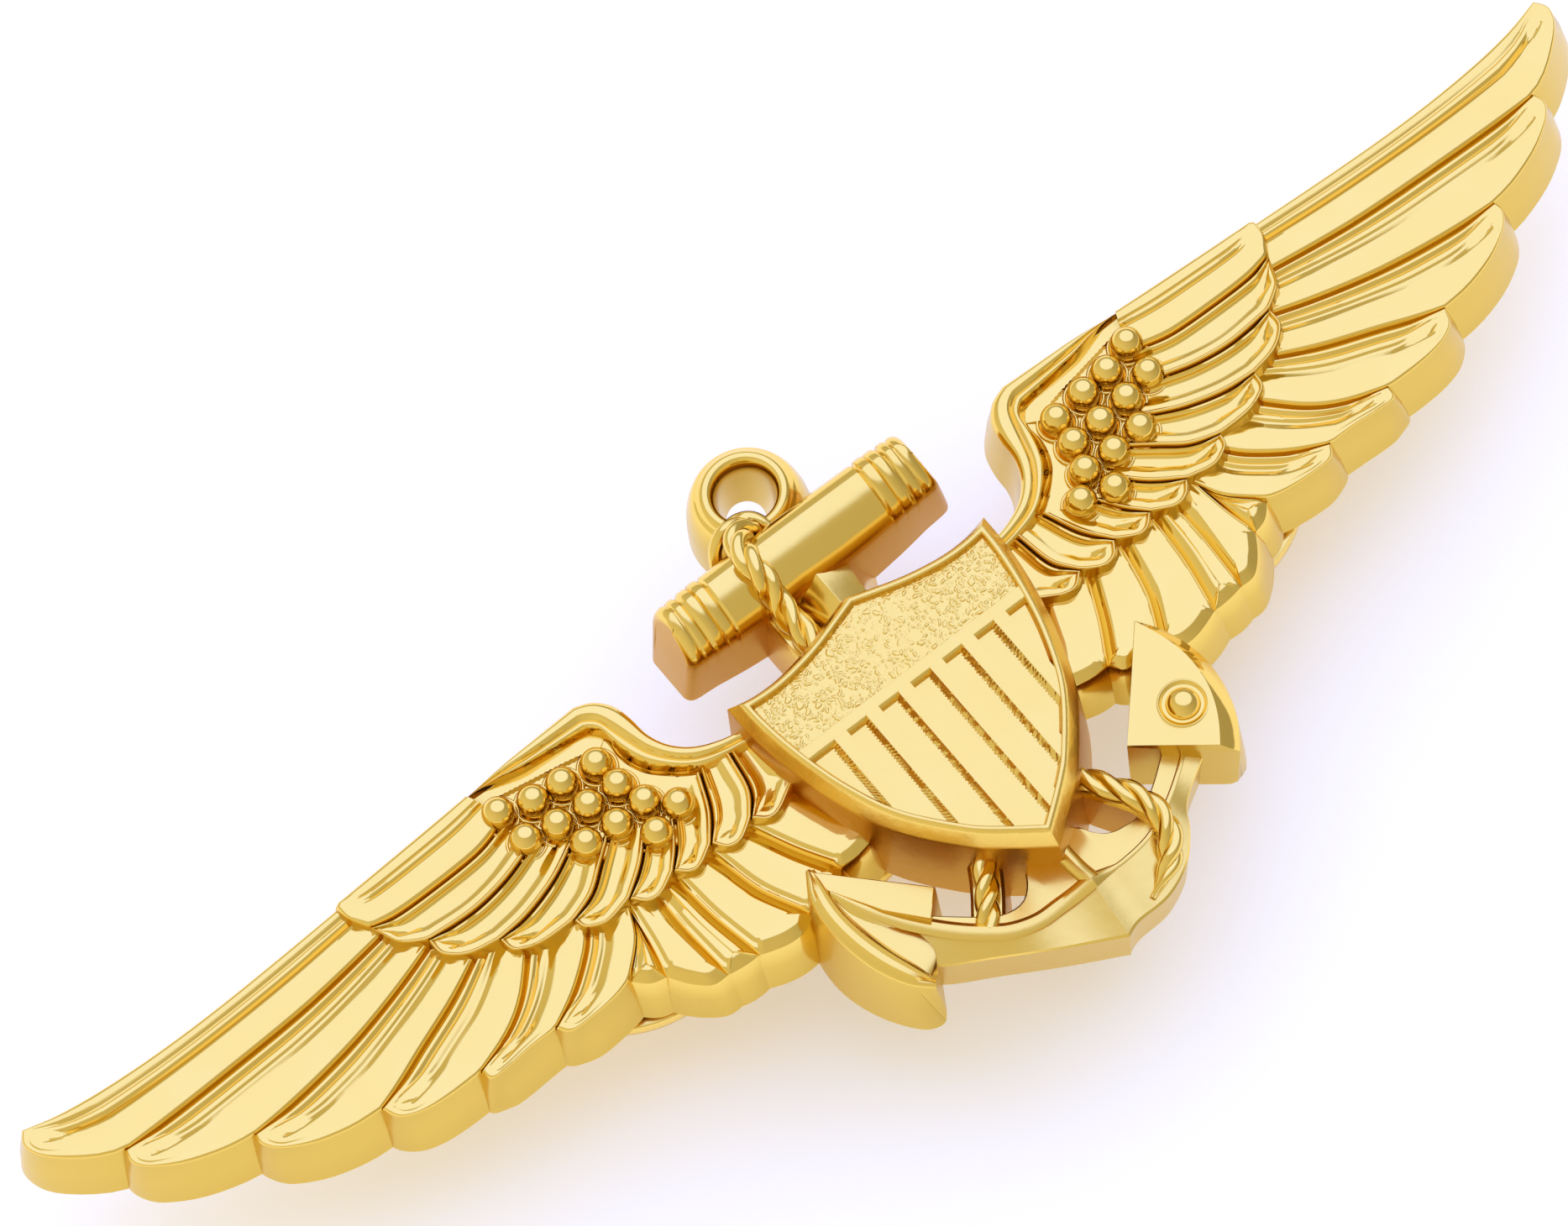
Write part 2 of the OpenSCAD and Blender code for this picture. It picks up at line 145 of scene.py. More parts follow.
# ---- pieces ----
class Piece:
    """One visible piece, put together from closed shells."""

    def __init__(self, mirror=False):
        self.mesh = bmesh.new()
        self.side = -1 if mirror else 1

    def shell(self, grids, faces=()):
        """A closed shell from grids of points, and from single faces given as rings of points."""
        part = bmesh.new()
        for rows, around, along in grids:
            made = [[part.verts.new(self.place(p)) for p in row] for row in rows]
            if around:
                made = [row + row[:1] for row in made]
            if along:
                made.append(made[0])
            for low, high in zip(made, made[1:]):
                for i in range(len(low) - 1):
                    part.faces.new((low[i], low[i + 1], high[i + 1], high[i]))
        for ring in faces:
            part.faces.new([part.verts.new(self.place(p)) for p in ring])
        bmesh.ops.remove_doubles(part, verts=part.verts, dist=0.003 * MM)
        bmesh.ops.dissolve_degenerate(part, edges=part.edges, dist=0.001 * MM)
        bmesh.ops.recalc_face_normals(part, faces=part.faces)
        kept = bpy.data.meshes.new("shell")
        part.to_mesh(kept)
        part.free()
        self.mesh.from_mesh(kept)
        bpy.data.meshes.remove(kept)

    def place(self, point):
        x, y, z = point
        return in_frame((self.side * x, y, z))

    def slab(self, outline, low, high):
        """A flat-topped solid with upright walls."""
        rings = [[(p[0], p[1], z) for p in outline] for z in (low, high)]
        self.shell([(rings, True, False)], rings)

    def loft(self, rails):
        """A solid bar through rails that are already sampled alike."""
        rows = [[rail[i] for rail in rails] for i in range(len(rails[0]))]
        self.shell([(rows, True, False)], [rows[0], rows[-1]])

    def bar(self, rails, count=24):
        """A solid bar whose cross-section runs through the given rails in turn."""
        self.loft([at(rail, np.linspace(0, 1, count)) for rail in rails])

    def lathe(self, centre, section, sides=48, hollow=False):
        """Radius and height pairs spun round an upright line. A hollow section is a loop."""
        rows = [[(centre[0] + r * math.cos(a), centre[1] + r * math.sin(a), z)
                 for a in circle(sides)] for r, z in section]
        self.shell([(rows, True, hollow)], [] if hollow else [rows[0], rows[-1]])

    def finish(self, name, nodes=(), body="badge", slot="polished_gold", sharp=38, material=None):
        """Makes the object, with edges sharper than the angle left crisp."""
        mesh = bpy.data.meshes.new(name)
        self.mesh.to_mesh(mesh)
        self.mesh.free()
        mesh.shade_smooth()
        mesh.set_sharp_from_angle(angle=math.radians(sharp))
        made = bpy.data.objects.new(name, mesh)
        bpy.context.scene.collection.objects.link(made)
        mesh.materials.append(MATERIALS[material or slot])
        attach(made, body)
        if nodes:
            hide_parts(*nodes)


# ---- materials ----
GOLD = (0.95, 0.68, 0.165, 1)
DEEP_GOLD = (0.93, 0.63, 0.125, 1)
# painted shade: a darker, deeper gold laid on steep walls in place of the shade that falls on them
WALL_SHADE_GOLD = (0.74, 0.5, 0.08, 1)
# painted shade and painted reflection: deep orange laid on steep walls in place of the shade and
# gold-on-gold reflection in hollows
AMBER_SHADE_GOLD = (0.66, 0.33, 0.02, 1)


def node(tree, kind, inputs=(), **settings):
    """A new node. Each input is given a value, or the output that it is joined to."""
    made = tree.nodes.new("ShaderNode" + kind)
    for name, value in settings.items():
        setattr(made, name, value)
    for socket, value in dict(inputs).items():
        if isinstance(value, bpy.types.NodeSocket):
            tree.links.new(value, made.inputs[socket])
        else:
            made.inputs[socket].default_value = value
    return made


def metal(name, colour, deep, walls, flat_rough, wall_rough, grain, grain_size, bump):
    """Plated metal: colour drift, a painted shade colour and satin on steep walls, fine grain in its
    skin.

    A face is flat, a wall or in between by how far its normal points out of the badge.
    """
    wall_below, flat_above, drift_size = 0.15, 0.5, 350
    made = bpy.data.materials.new(name)
    made.use_nodes = True
    tree = made.node_tree
    where = node(tree, "TexCoord").outputs
    drift = node(tree, "TexNoise", {"Scale": drift_size, "Detail": 3, "Vector": where["Object"]})
    tint = node(tree, "Mix", {"A": colour, "B": deep, "Factor": drift.outputs["Fac"]},
                data_type="RGBA")
    facing = node(tree, "SeparateXYZ", {"Vector": where["Normal"]})
    flat = node(tree, "MapRange", {"From Min": wall_below, "From Max": flat_above,
                                   "Value": facing.outputs["Z"]}).outputs["Result"]
    # painted shade: steep faces take the walls colour, a darker gold that stands in for the shade on
    # walls
    drift_and_wall_shade = node(tree, "Mix", {"A": walls, "Factor": flat, "B": tint.outputs["Result"]},
                data_type="RGBA")
    skin = node(tree, "TexNoise", {"Scale": grain_size, "Detail": 4, "Vector": where["Object"]})
    satin = node(tree, "MapRange", {"To Min": wall_rough, "To Max": flat_rough, "Value": flat})
    mottle = node(tree, "Math", {1: grain, 0: skin.outputs["Fac"], 2: satin.outputs["Result"]},
                  operation="MULTIPLY_ADD")
    raised = node(tree, "Bump", {"Strength": 1, "Distance": bump * MM,
                                 "Height": skin.outputs["Fac"]})
    shader = tree.nodes["Principled BSDF"].inputs
    shader["Metallic"].default_value = 1
    tree.links.new(drift_and_wall_shade.outputs["Result"], shader["Base Color"])
    tree.links.new(mottle.outputs["Value"], shader["Roughness"])
    tree.links.new(raised.outputs["Normal"], shader["Normal"])
    return made


# name: colour, deeper colour, wall colour with painted shade, roughness of flats and of walls,
# mottle, grain, bump
METALS = {
    "polished_gold": (GOLD, DEEP_GOLD, WALL_SHADE_GOLD, 0.05, 0.24, 0.04, 900, 0.004),
    "rubbed_gold": (GOLD, DEEP_GOLD, WALL_SHADE_GOLD, 0.2, 0.28, 0.06, 1500, 0.006),
    # these two paint deep amber shade on their steep walls
    "amber_shaded_gold": (GOLD, DEEP_GOLD, AMBER_SHADE_GOLD, 0.12, 0.3, 0.05, 1100, 0.006),
    "satin_gold": (GOLD, DEEP_GOLD, AMBER_SHADE_GOLD, 0.2, 0.3, 0.08, 2600, 0.012),
    "bare_brass": (DEEP_GOLD, GOLD, DEEP_GOLD, 0.22, 0.25, 0.12, 1800, 0.004),
    "plated_brass": (GOLD, DEEP_GOLD, GOLD, 0.16, 0.2, 0.1, 1300, 0.003),
    "spring_brass": (DEEP_GOLD, GOLD, DEEP_GOLD, 0.18, 0.22, 0.1, 1500, 0.003),
}
MATERIALS = {name: metal(name, *values) for name, values in METALS.items()}

# ---- wing outlines, for the wing on +x ----
LEADING_EDGE = curve([(9.9, 9.97), (15, 9.7), (21, 9.35), (26, 9.1), (29, 9.07), (31.5, 9.2),
                      (33.5, 9.45), (34.9, 9.75)])
SHOULDER = curve([(9.9, 9.97), (9.2, 9.7), (8.7, 9.1), (8.5, 8.3), (8.45, 7.5), (8.2, 6.75),
                  (7.75, 6.15), (7.2, 5.75), (6.5, 5.45), (5.9, 5.3), (5.2, 5)])


def row_of_ends(start, rows):
    """Rounded feather ends. Each starts at the notch where the one before it stopped."""
    ends = []
    for points in rows:
        ends.append(curve([start] + points))
        start = points[-1]
    return ends


def row_of_seams(ends, tucked, rows):
    """Seams under feathers, out to their notches. Their roots are tucked under the next row."""
    return [longer(curve(points + [tuple(end[-1])]), tucked) for end, points in zip(ends, rows)]


# Rounded ends of the twelve flight feathers, from the wing tip inwards
FEATHER_ENDS = row_of_ends((34.9, 9.75), [
    [(35.2, 9.2), (34.9, 8.45), (34.2, 7.75), (33.3, 7.1), (32.45, 6.72)],
    [(32.55, 6.2), (32.1, 5.6), (31, 4.9), (29.6, 4.4), (28.5, 4.2)],
    [(28.55, 3.8), (28.1, 3.2), (27, 2.55), (25.6, 2.15), (24.4, 2.05)],
    [(24.1, 1.4), (23.2, 1), (22, 0.88), (20.8, 0.9)],
    [(20.7, 0.45), (20, 0.4), (18.8, 0.5), (17.75, 0.5)],
    [(17.4, 0.05), (16.4, 0), (15.3, 0.1), (14.6, 0.3)],
    [(14.1, -0.2), (13.5, -0.4)],
    [(13, -1.15), (12.4, -1.7), (11.75, -1.75)],
    [(11.1, -1.85), (10.4, -1.88)],
    [(9.4, -2.2), (8.6, -2.2), (8, -1.85)],
    [(7.2, -1.7), (6.5, -1.6), (6.1, -1.1)],
    [(5.4, -1.1), (4.3, -0.85), (4, -0.6)],
])
# Seams under each flight feather, from the covert row out to the notch, and the shield's side
FEATHER_SEAMS = row_of_seams(FEATHER_ENDS, 1.3, [
    [(20.5, 7.45), (24, 7), (28, 6.8), (31, 6.72)],
    [(19.6, 5.95), (21, 5.48), (23, 4.93), (25, 4.55), (27, 4.3)],
    [(18.4, 4.6), (20, 3.8), (22, 3), (23.3, 2.45)],
    [(16.8, 3.6), (18, 2.3), (19.2, 1.5)],
    [(14.6, 2.9), (15.2, 2.2), (16.4, 1.25)],
    [(13, 2.3), (13.5, 1.35)],
    [(13.1, 1.9), (13.25, 0.8)],
    [(11.9, 1.9), (11.9, 0.5)],
    [(10.95, 1.8), (10.8, 0.2)],
    [(9.3, 1.7), (8.9, 0)],
    [(7.5, 1.6), (6.9, 0.3)],
    [(5.3, 1.6), (4.8, 0.5)],
])
# Rounded ends of the nine coverts, from the outer end of the row inwards
COVERT_ENDS = row_of_ends((21.2, 9.3), [
    [(21.15, 8.6), (20.85, 8), (20.7, 7.75)],
    [(20.3, 6.75), (19.9, 6.33), (19.35, 6)],
    [(19.3, 5.25), (18.5, 4.6), (17.35, 4.35)],
    [(17.2, 3.68), (16.2, 3.26), (14.85, 3.22)],
    [(14.7, 2.73), (13.9, 2.38), (12.8, 2.6)],
    [(12.4, 2.12), (11.8, 2), (10.95, 2.42)],
    [(10.5, 2), (10, 1.97), (9.25, 2.4)],
    [(8.9, 1.9), (8.3, 1.8), (7.55, 2.25)],
    [(7.1, 1.83), (6.5, 1.85), (5.2, 2.6)],
])
# Seams under each covert, and the shield's side after the last
COVERT_SEAMS = row_of_seams(COVERT_ENDS, 0.5, [
    [(14.8, 7.9), (16, 7.6), (18, 7.52), (19.6, 7.55)],
    [(14.8, 6.4), (16, 6.05), (17.5, 5.87)],
    [(13.4, 5.5), (14.5, 4.95), (16, 4.5)],
    [(12.1, 4.9), (12.8, 4.35), (13.7, 3.65)],
    [(11, 4.1), (11.7, 3.4)],
    [(9.8, 3.9), (10.3, 3.15)],
    [(8.05, 4.5), (8.5, 3.45)],
    [(6.65, 4.5), (6.9, 3.2)],
    [(5.4, 4.3), (5.35, 3.4)],
])
BEADS = [(10.59, 7.55), (12, 7.75), (13.21, 7.88), (14.47, 8.31), (10.49, 6.4), (11.77, 6.44),
         (13.08, 6.57), (14.31, 6.85), (10.12, 5.26), (11.41, 5.19), (12.72, 5.3), (9.24, 4.38),
         (10.51, 4)]
BEAD_R = 0.61
BEAD_RING_R = 0.74
BEAD_MIDDLE_Z = 2.9
# How high the struck back, the coverts' bed, the beads' ground and a wall's bend are
BACK_TOP_Z = 2.02
COVERT_BED_Z = 2.43
GROUND_Z = 2.47
BELT_Z = 1.3
BURIED_Z = 0.12

# Heights across a feather at distances from its upper seam or from its free edge, in mm
FLIGHT_UPPER = [(0, 2.06), (0.05, 2.12), (0.11, 2.21), (0.2, 2.29), (0.3, 2.28), (0.38, 2.2),
                (0.43, 2.18), (0.49, 2.24), (0.62, 2.33), (0.74, 2.31), (0.82, 2.25), (0.87, 2.24),
                (0.95, 2.27), (1.1, 2.33)]
FLIGHT_FREE = [(0, 2.26), (0.012, 2.33), (0.03, 2.38), (0.06, 2.42), (0.1, 2.45), (0.14, 2.46),
               (0.18, 2.455), (0.23, 2.44), (0.29, 2.44), (0.36, 2.46), (0.46, 2.48), (0.6, 2.47),
               (0.75, 2.44), (0.9, 2.4)]
INNER_UPPER = [(0, 2.2), (0.03, 2.3), (0.06, 2.35), (0.1, 2.34), (0.15, 2.3), (0.2, 2.31),
               (0.3, 2.36), (0.45, 2.41)]
INNER_FREE = [(0, 2.1), (0.03, 2.14), (0.08, 2.17), (0.14, 2.21), (0.22, 2.27), (0.32, 2.33),
              (0.42, 2.38), (0.55, 2.41)]
FLIGHT_LEADING = [(0, 2.1), (0.02, 2.2), (0.06, 2.3), (0.14, 2.39), (0.28, 2.44), (0.42, 2.43),
                  (0.55, 2.35), (0.63, 2.33), (0.72, 2.4), (0.85, 2.41), (0.95, 2.33),
                  (1.05, 2.24), (1.12, 2.3), (1.22, 2.42)]
COVERT_UPPER = [(0, 2.5), (0.04, 2.6), (0.09, 2.74), (0.14, 2.81), (0.19, 2.83), (0.25, 2.8),
                (0.3, 2.72), (0.34, 2.65), (0.38, 2.61), (0.43, 2.58), (0.5, 2.56), (0.57, 2.55),
                (0.65, 2.55), (0.73, 2.55)]
COVERT_FREE = [(0, 2.55), (0.008, 2.68), (0.02, 2.77), (0.04, 2.83), (0.06, 2.86), (0.085, 2.87),
               (0.11, 2.86), (0.14, 2.81), (0.165, 2.76), (0.19, 2.735), (0.24, 2.73),
               (0.32, 2.73), (0.42, 2.7), (0.54, 2.63)]
COVERT_LEADING = [(0, 2.5), (0.02, 2.62), (0.06, 2.74), (0.14, 2.82), (0.28, 2.87), (0.5, 2.89),
                  (0.66, 2.88), (0.72, 2.83), (0.78, 2.87), (0.92, 2.89), (1.0, 2.84),
                  (1.06, 2.8), (1.12, 2.84), (1.22, 2.9)]
COVERT_FIRST_FREE = [(0, 2.5), (0.012, 2.62), (0.03, 2.7), (0.06, 2.78), (0.1, 2.83),
                     (0.15, 2.87), (0.2, 2.89), (0.27, 2.9), (0.35, 2.91), (0.44, 2.92),
                     (0.54, 2.93), (0.64, 2.93), (0.74, 2.93), (0.8, 2.93)]


def leaf(piece, upper, end, lower, upper_heights, free_heights, middle, base, share, pull,
         fade=1.6, draft=0.5, ribs=26, end_ribs=12):
    """One feather: ribs run from its outline to a middle line, and each carries a cross-section.

    share is how far across the middle line lies, and pull how far short of the tip it stops.
    Over the last fade millimetres its upper side takes on the heights of the free edge. Its
    walls lean out by draft at the back, and ribs stand closer together towards the tip.
    """
    least_slant, longest, belt_share = 0.6, 0.93, 0.55
    spread = 1 - (1 - np.linspace(0, 1, ribs)) ** 1.25
    top, low = at(upper, spread), at(lower, spread)
    back = at(upper, spread * (1 - pull)), at(lower, spread * (1 - pull))
    spine = back[0] + (back[1] - back[0]) * share
    tip = at(end, np.linspace(0, 1, end_ribs + 2)[1:-1])
    outline = np.vstack([top, tip, low[::-1]])
    inner = np.vstack([spine, np.repeat(spine[-1:], end_ribs, axis=0), spine[::-1]])
    left = (1 - spread) * lengths(upper)[-1]
    weights = np.concatenate([smooth(1 - left / fade), np.ones(end_ribs + ribs)])
    upper_heights, free_heights = np.array(upper_heights), np.array(free_heights)
    square = sideways(outline)
    rows = []
    for k, (edge, mid) in enumerate(zip(outline, inner)):
        section = upper_heights + (free_heights - upper_heights) * weights[k]
        reach = np.linalg.norm(mid - edge)
        # a rib that leaves its edge at a slant is stretched, and still ends short of the middle
        slant = max(abs(np.dot((mid - edge) / reach, square[k])), least_slant)
        scale = min(1 / slant, longest * reach / section[-1, 0])
        row = [np.append(edge + (mid - edge) * d * scale / reach, z) for d, z in section]
        rows.append(row + [np.append(mid, middle)])
    bottom, belt = [], []
    for edge, mid in zip(outline, inner):
        out = (edge - mid) / np.linalg.norm(edge - mid)
        bottom.append(np.append(edge + out * draft, base))
        belt.append(np.append(edge + out * draft * belt_share, BELT_Z))
    wall = [bottom, belt, [row[0] for row in rows]]
    root_top = rows[0] + rows[-1][::-1][1:]
    root_low = [np.array([p[0], p[1], base]) for p in root_top]
    root_belt = [np.array([p[0], p[1], BELT_Z]) for p in root_top]
    root_low[0], root_low[-1] = bottom[0], bottom[-1]
    root_belt[0], root_belt[-1] = belt[0], belt[-1]
    under = list(bottom) + root_low[::-1][1:-1]
    piece.shell([(rows, False, False), (wall, False, False),
                 ([root_low, root_belt, root_top], False, False)], [under])


def flight_feathers(piece):
    """Twelve flight feathers. The outer ones are cut on a slant, the inner ones square."""
    tip_share = [0.3, 0.26, 0.28, 0.36, 0.34, 0.42]
    slanted = len(tip_share)
    covered_x = 19
    for i, tip in enumerate(FEATHER_ENDS):
        lower = FEATHER_SEAMS[i]
        upper = FEATHER_SEAMS[i - 1] if i else LEADING_EDGE[LEADING_EDGE[:, 0] > covered_x]
        if i < slanted:
            width, fade = 1.3, 1.6
            heights, free = FLIGHT_UPPER if i else FLIGHT_LEADING, FLIGHT_FREE
            lower = join(lower, cut(tip, 1, tip_share[i]))
            tip = cut(tip, 0, tip_share[i])
        else:
            width, fade = np.linalg.norm(tip[0] - tip[-1]), 0.35
            heights, free = INNER_UPPER, INNER_FREE
        leaf(piece, upper, tip, lower, heights, free, middle=2.37, base=0.02 + 0.02 * (i % 2),
             share=0.5, pull=0.42 * width / lengths(upper)[-1], fade=fade)


def coverts(piece):
    """Nine coverts, each a sunk floor with a ridge above it and a raised rim round its tip."""
    bed = [(19.5, 9.2), (10, 9.3), (8.8, 7.4), (8.4, 5.2), (5.6, 4.6), (5.6, 3.2), (8.4, 3),
           (10.2, 3.2), (12, 3.3), (13.7, 3.7), (15.6, 4.6), (17.6, 5.6), (18.8, 7)]
    piece.slab(bed, BURIED_Z, COVERT_BED_Z)
    tip_share, first_from, first_to = 0.5, 14.2, 21.1
    for i, end in enumerate(COVERT_ENDS):
        lower = join(COVERT_SEAMS[i], cut(end, 1, tip_share))
        tip = cut(end, 0, tip_share)
        if i:
            upper, heights, free, middle = COVERT_SEAMS[i - 1], COVERT_UPPER, COVERT_FREE, 2.56
        else:
            along = LEADING_EDGE[:, 0]
            upper = LEADING_EDGE[(along > first_from) & (along < first_to)]
            heights, free, middle = COVERT_LEADING, COVERT_FIRST_FREE, 2.92
        leaf(piece, upper, tip, lower, heights, free, middle, base=0.06 + 0.02 * (i % 2),
             share=0.52, pull=0.55 / lengths(upper)[-1], fade=0.9)


def moulding(piece):
    """The rolled moulding along the shoulder: a wide roll, a thin groove and a narrow ridge.

    It grows out of the leading edge over its first few millimetres.
    """
    start_share, grows_over, low_z = 0.205, 2.6, 2.45
    straight, bent = np.linspace(0, 1, 24), np.linspace(0, 1, 44)[1:]
    outer = np.vstack([at(cut(LEADING_EDGE, start_share, 0, 24), straight), at(SHOULDER, bent)])
    inner = [curve([(15, 9.35), (14.3, 9.25), (12, 8.95), (10.1, 8.75)]),
             curve([(10.1, 8.75), (9.75, 8.3), (9.75, 7.3), (9.45, 6.4), (8.9, 5.75), (8.1, 5.1),
                    (7.2, 4.75), (5.2, 4.45)])]
    inner = np.vstack([at(inner[0], straight), at(inner[1], bent)])
    grown = smooth(0.12 + 0.88 * lengths(outer) / grows_over)
    inner = outer + (inner - outer) * grown[:, None]
    section = [(0, low_z), (0.02, 2.66), (0.06, 2.82), (0.13, 2.95), (0.22, 3.03), (0.32, 3.05),
               (0.42, 3.03), (0.5, 2.95), (0.54, 2.88), (0.57, 2.86), (0.6, 2.89), (0.66, 2.95),
               (0.72, 2.95), (0.78, 2.9), (0.84, 2.8), (0.92, 2.66), (1, 2.5)]
    rails = [lift(outer - sideways(outer) * 0.42, 0.1), lift(outer - sideways(outer) * 0.24, 1.3)]
    for share, z in section:
        rails.append(lift(outer + (inner - outer) * share, low_z + (z - low_z) * grown))
    rails.append(lift(inner, 0.1))
    piece.bar(rails, count=len(outer))


def bead(piece, spot):
    """A polished bead in a thin turned ring."""
    ring = [(0.07, -0.2), (0.06, 0.06), (0.03, 0.12), (-0.02, 0.14), (-0.07, 0.12), (-0.1, 0.06),
            (-0.13, 0.01)]
    section = [(BEAD_RING_R + out, GROUND_Z + up) for out, up in ring]
    for angle in np.linspace(-0.5, math.pi / 2, 12)[:-1]:
        section.append((BEAD_R * math.cos(angle), BEAD_MIDDLE_Z + BEAD_R * math.sin(angle)))
    piece.lathe(spot, section, 32)


def bead_field(piece):
    """The sunk ground that the beads stand on, and the pocket beside the moulding."""
    outline = [(15.9, 9.5), (10, 9.4), (9, 7.6), (8.6, 5.4), (5.5, 4.7), (5.5, 3.4), (9.6, 3.6),
               (11.2, 3.7), (13.4, 4.9), (15.3, 6.2)]
    piece.slab(outline, BURIED_Z, GROUND_Z)
    # a shelf with a saw-toothed edge between the moulding and the first beads
    teeth, tooth_depth = 25, 0.035
    crest = curve([(15.2, 9.15), (13, 8.75), (10.75, 8.3), (10.35, 7.9)])
    crest = cut(crest, 0, 1, 2 * teeth + 1)
    crest = crest + sideways(crest) * np.where(np.arange(len(crest)) % 2, tooth_depth, 0)[:, None]
    back = cut(np.array([(15.4, 9.5), (10.3, 9.3), (9.6, 8.4)]), 0, 1, len(crest))
    piece.loft([lift(back, 0.2), lift(back, 2.5), lift(crest, 2.66), lift(crest, 0.2)])
    for spot in BEADS:
        bead(piece, spot)


def back_plate(piece):
    """The flat struck back, a little inside the feathers' walls."""
    outline = join(LEADING_EDGE, join(*FEATHER_ENDS), [(5.2, 5)], SHOULDER[::-1])[:-1]
    piece.slab(inset(outline, -0.05), 0, BACK_TOP_Z)


def wing(side):
    """All of one wing. The left one is drawn as the right one mirrored."""
    for name, makers in (("flight_feathers", (flight_feathers, back_plate)),
                         ("coverts", (coverts,)), ("shoulder_moulding", (moulding,)),
                         ("shoulder_beads", (bead_field,))):
        made = Piece(mirror=side == "left")
        for make in makers:
            make(made)
        nodes = [f"{side}_wing"] if name == "flight_feathers" else []
        made.finish(f"{side}_{name}", nodes, sharp=50)


wing("left")
wing("right")


# ---- shield ----
SHIELD_TOP = curve([(0, 6.4), (1, 6.07), (2, 5.76), (3, 5.54), (4, 5.42), (5, 5.46), (5.87, 5.66)])
SHIELD_SIDE = curve([(5.87, 5.66), (5.82, 4), (5.52, 2), (5, 0), (4.15, -2), (2.65, -4),
                     (1.6, -5), (0, SHIELD_TIP_Y)])


def crossing(one, other):
    """Where two lines first cross, and how many points of each lie before that."""
    for i in range(len(one) - 1):
        for j in range(len(other) - 1):
            p, r = one[i], one[i + 1] - one[i]
            q, s = other[j], other[j + 1] - other[j]
            turn = r[0] * s[1] - r[1] * s[0]
            if abs(turn) > 1e-12:
                t = ((q[0] - p[0]) * s[1] - (q[1] - p[1]) * s[0]) / turn
                u = ((q[0] - p[0]) * r[1] - (q[1] - p[1]) * r[0]) / turn
                if 0 <= t <= 1 and 0 <= u <= 1:
                    return p + r * t, i + 1, j + 1
    raise ValueError("the lines don't cross")


def shield_ring(rim):
    """The shield's outline with a width of rim taken off all round."""
    def moved(line):
        line = line - sideways(line) * rim
        first, last = line[0] - line[1], line[-1] - line[-2]
        return np.vstack([line[0] + first / np.linalg.norm(first) * 1.5, line,
                          line[-1] + last / np.linalg.norm(last) * 1.5])
    top, side = moved(SHIELD_TOP), moved(SHIELD_SIDE)
    corner, before, after = crossing(top, side)
    peak = np.interp(0, top[:, 0], top[:, 1])
    tip = np.interp(0, side[::-1, 0], side[::-1, 1])
    top = [p for p in top[:before] if p[0] > 0]
    side = [p for p in side[after:] if p[0] > 0]
    top, side = np.array([(0, peak)] + top + [corner]), np.array([corner] + side + [(0, tip)])
    half = np.vstack([at(top, np.linspace(0, 1, 24)), at(side, np.linspace(0, 1, 60))[1:]])
    return np.vstack([half, (half * (-1, 1))[-2:0:-1]])


RIM_TOP = 4.95
FIELD_Z = 4.65
BAR_Z = 4.9
STRIPE_PITCH = 1.445
FIRST_STRIPE = -4.2
BARS = 6
FESS_LOW, FESS_HIGH = 1.93, 2.4


def half_width(y, rim):
    """Half the shield's width at a height, less a width of rim."""
    return np.interp(-y, -SHIELD_SIDE[:, 1], SHIELD_SIDE[:, 0]) - rim


def foot_of_stripe(x, rim):
    """How far down the shield a stripe reaches at x before it meets the rim."""
    inner = shield_ring(rim)
    low = inner[(inner[:, 1] < 2) & (inner[:, 0] >= -0.01)]
    return np.interp(abs(x), low[::-1, 0], low[::-1, 1])


def shield():
    """The shield's body with its rim and bars, and the pebbled field set into it."""
    made = Piece()
    # walls, outer bevel, rounded rim and the floor inside it
    section = [(-0.15, 0.05), (0, 4.1), (0.015, 4.18), (0.05, 4.26), (0.27, 4.72), (0.31, 4.79),
               (0.36, 4.87), (0.42, 4.925), (0.48, RIM_TOP), (0.54, 4.945), (0.585, 4.91),
               (0.61, 4.85), (0.66, 4.7), (0.69, FIELD_Z)]
    rings = [lift(shield_ring(d), z) for d, z in section]
    made.shell([(rings, True, False)], [rings[0], rings[-1]])
    fess(made)
    for i in range(BARS):
        stripe_bar(made, FIRST_STRIPE + i * STRIPE_PITCH)
    made.finish("shield_body", ["shield"], slot="satin_gold", sharp=40)
    field = Piece()
    pebbled_field(field)
    field.finish("shield_field", slot="satin_gold", sharp=180)


def fess(piece):
    """The bar between the pebbled field and the stripes."""
    low_z = FIELD_Z - 0.1
    section = [(FESS_LOW - 0.2, low_z), (FESS_LOW - 0.17, FIELD_Z + 0.01),
               (FESS_LOW - 0.04, BAR_Z - 0.05), (FESS_LOW, BAR_Z - 0.01),
               (FESS_LOW + 0.06, BAR_Z), (FESS_HIGH - 0.05, BAR_Z),
               (FESS_HIGH, BAR_Z - 0.02), (FESS_HIGH + 0.04, FIELD_Z), (FESS_HIGH + 0.05, low_z)]
    rails = []
    for y, z in section:
        reach = half_width(y, 0.5)
        rails.append(np.array([(-reach, y, z), (reach, y, z)]))
    piece.bar(rails)


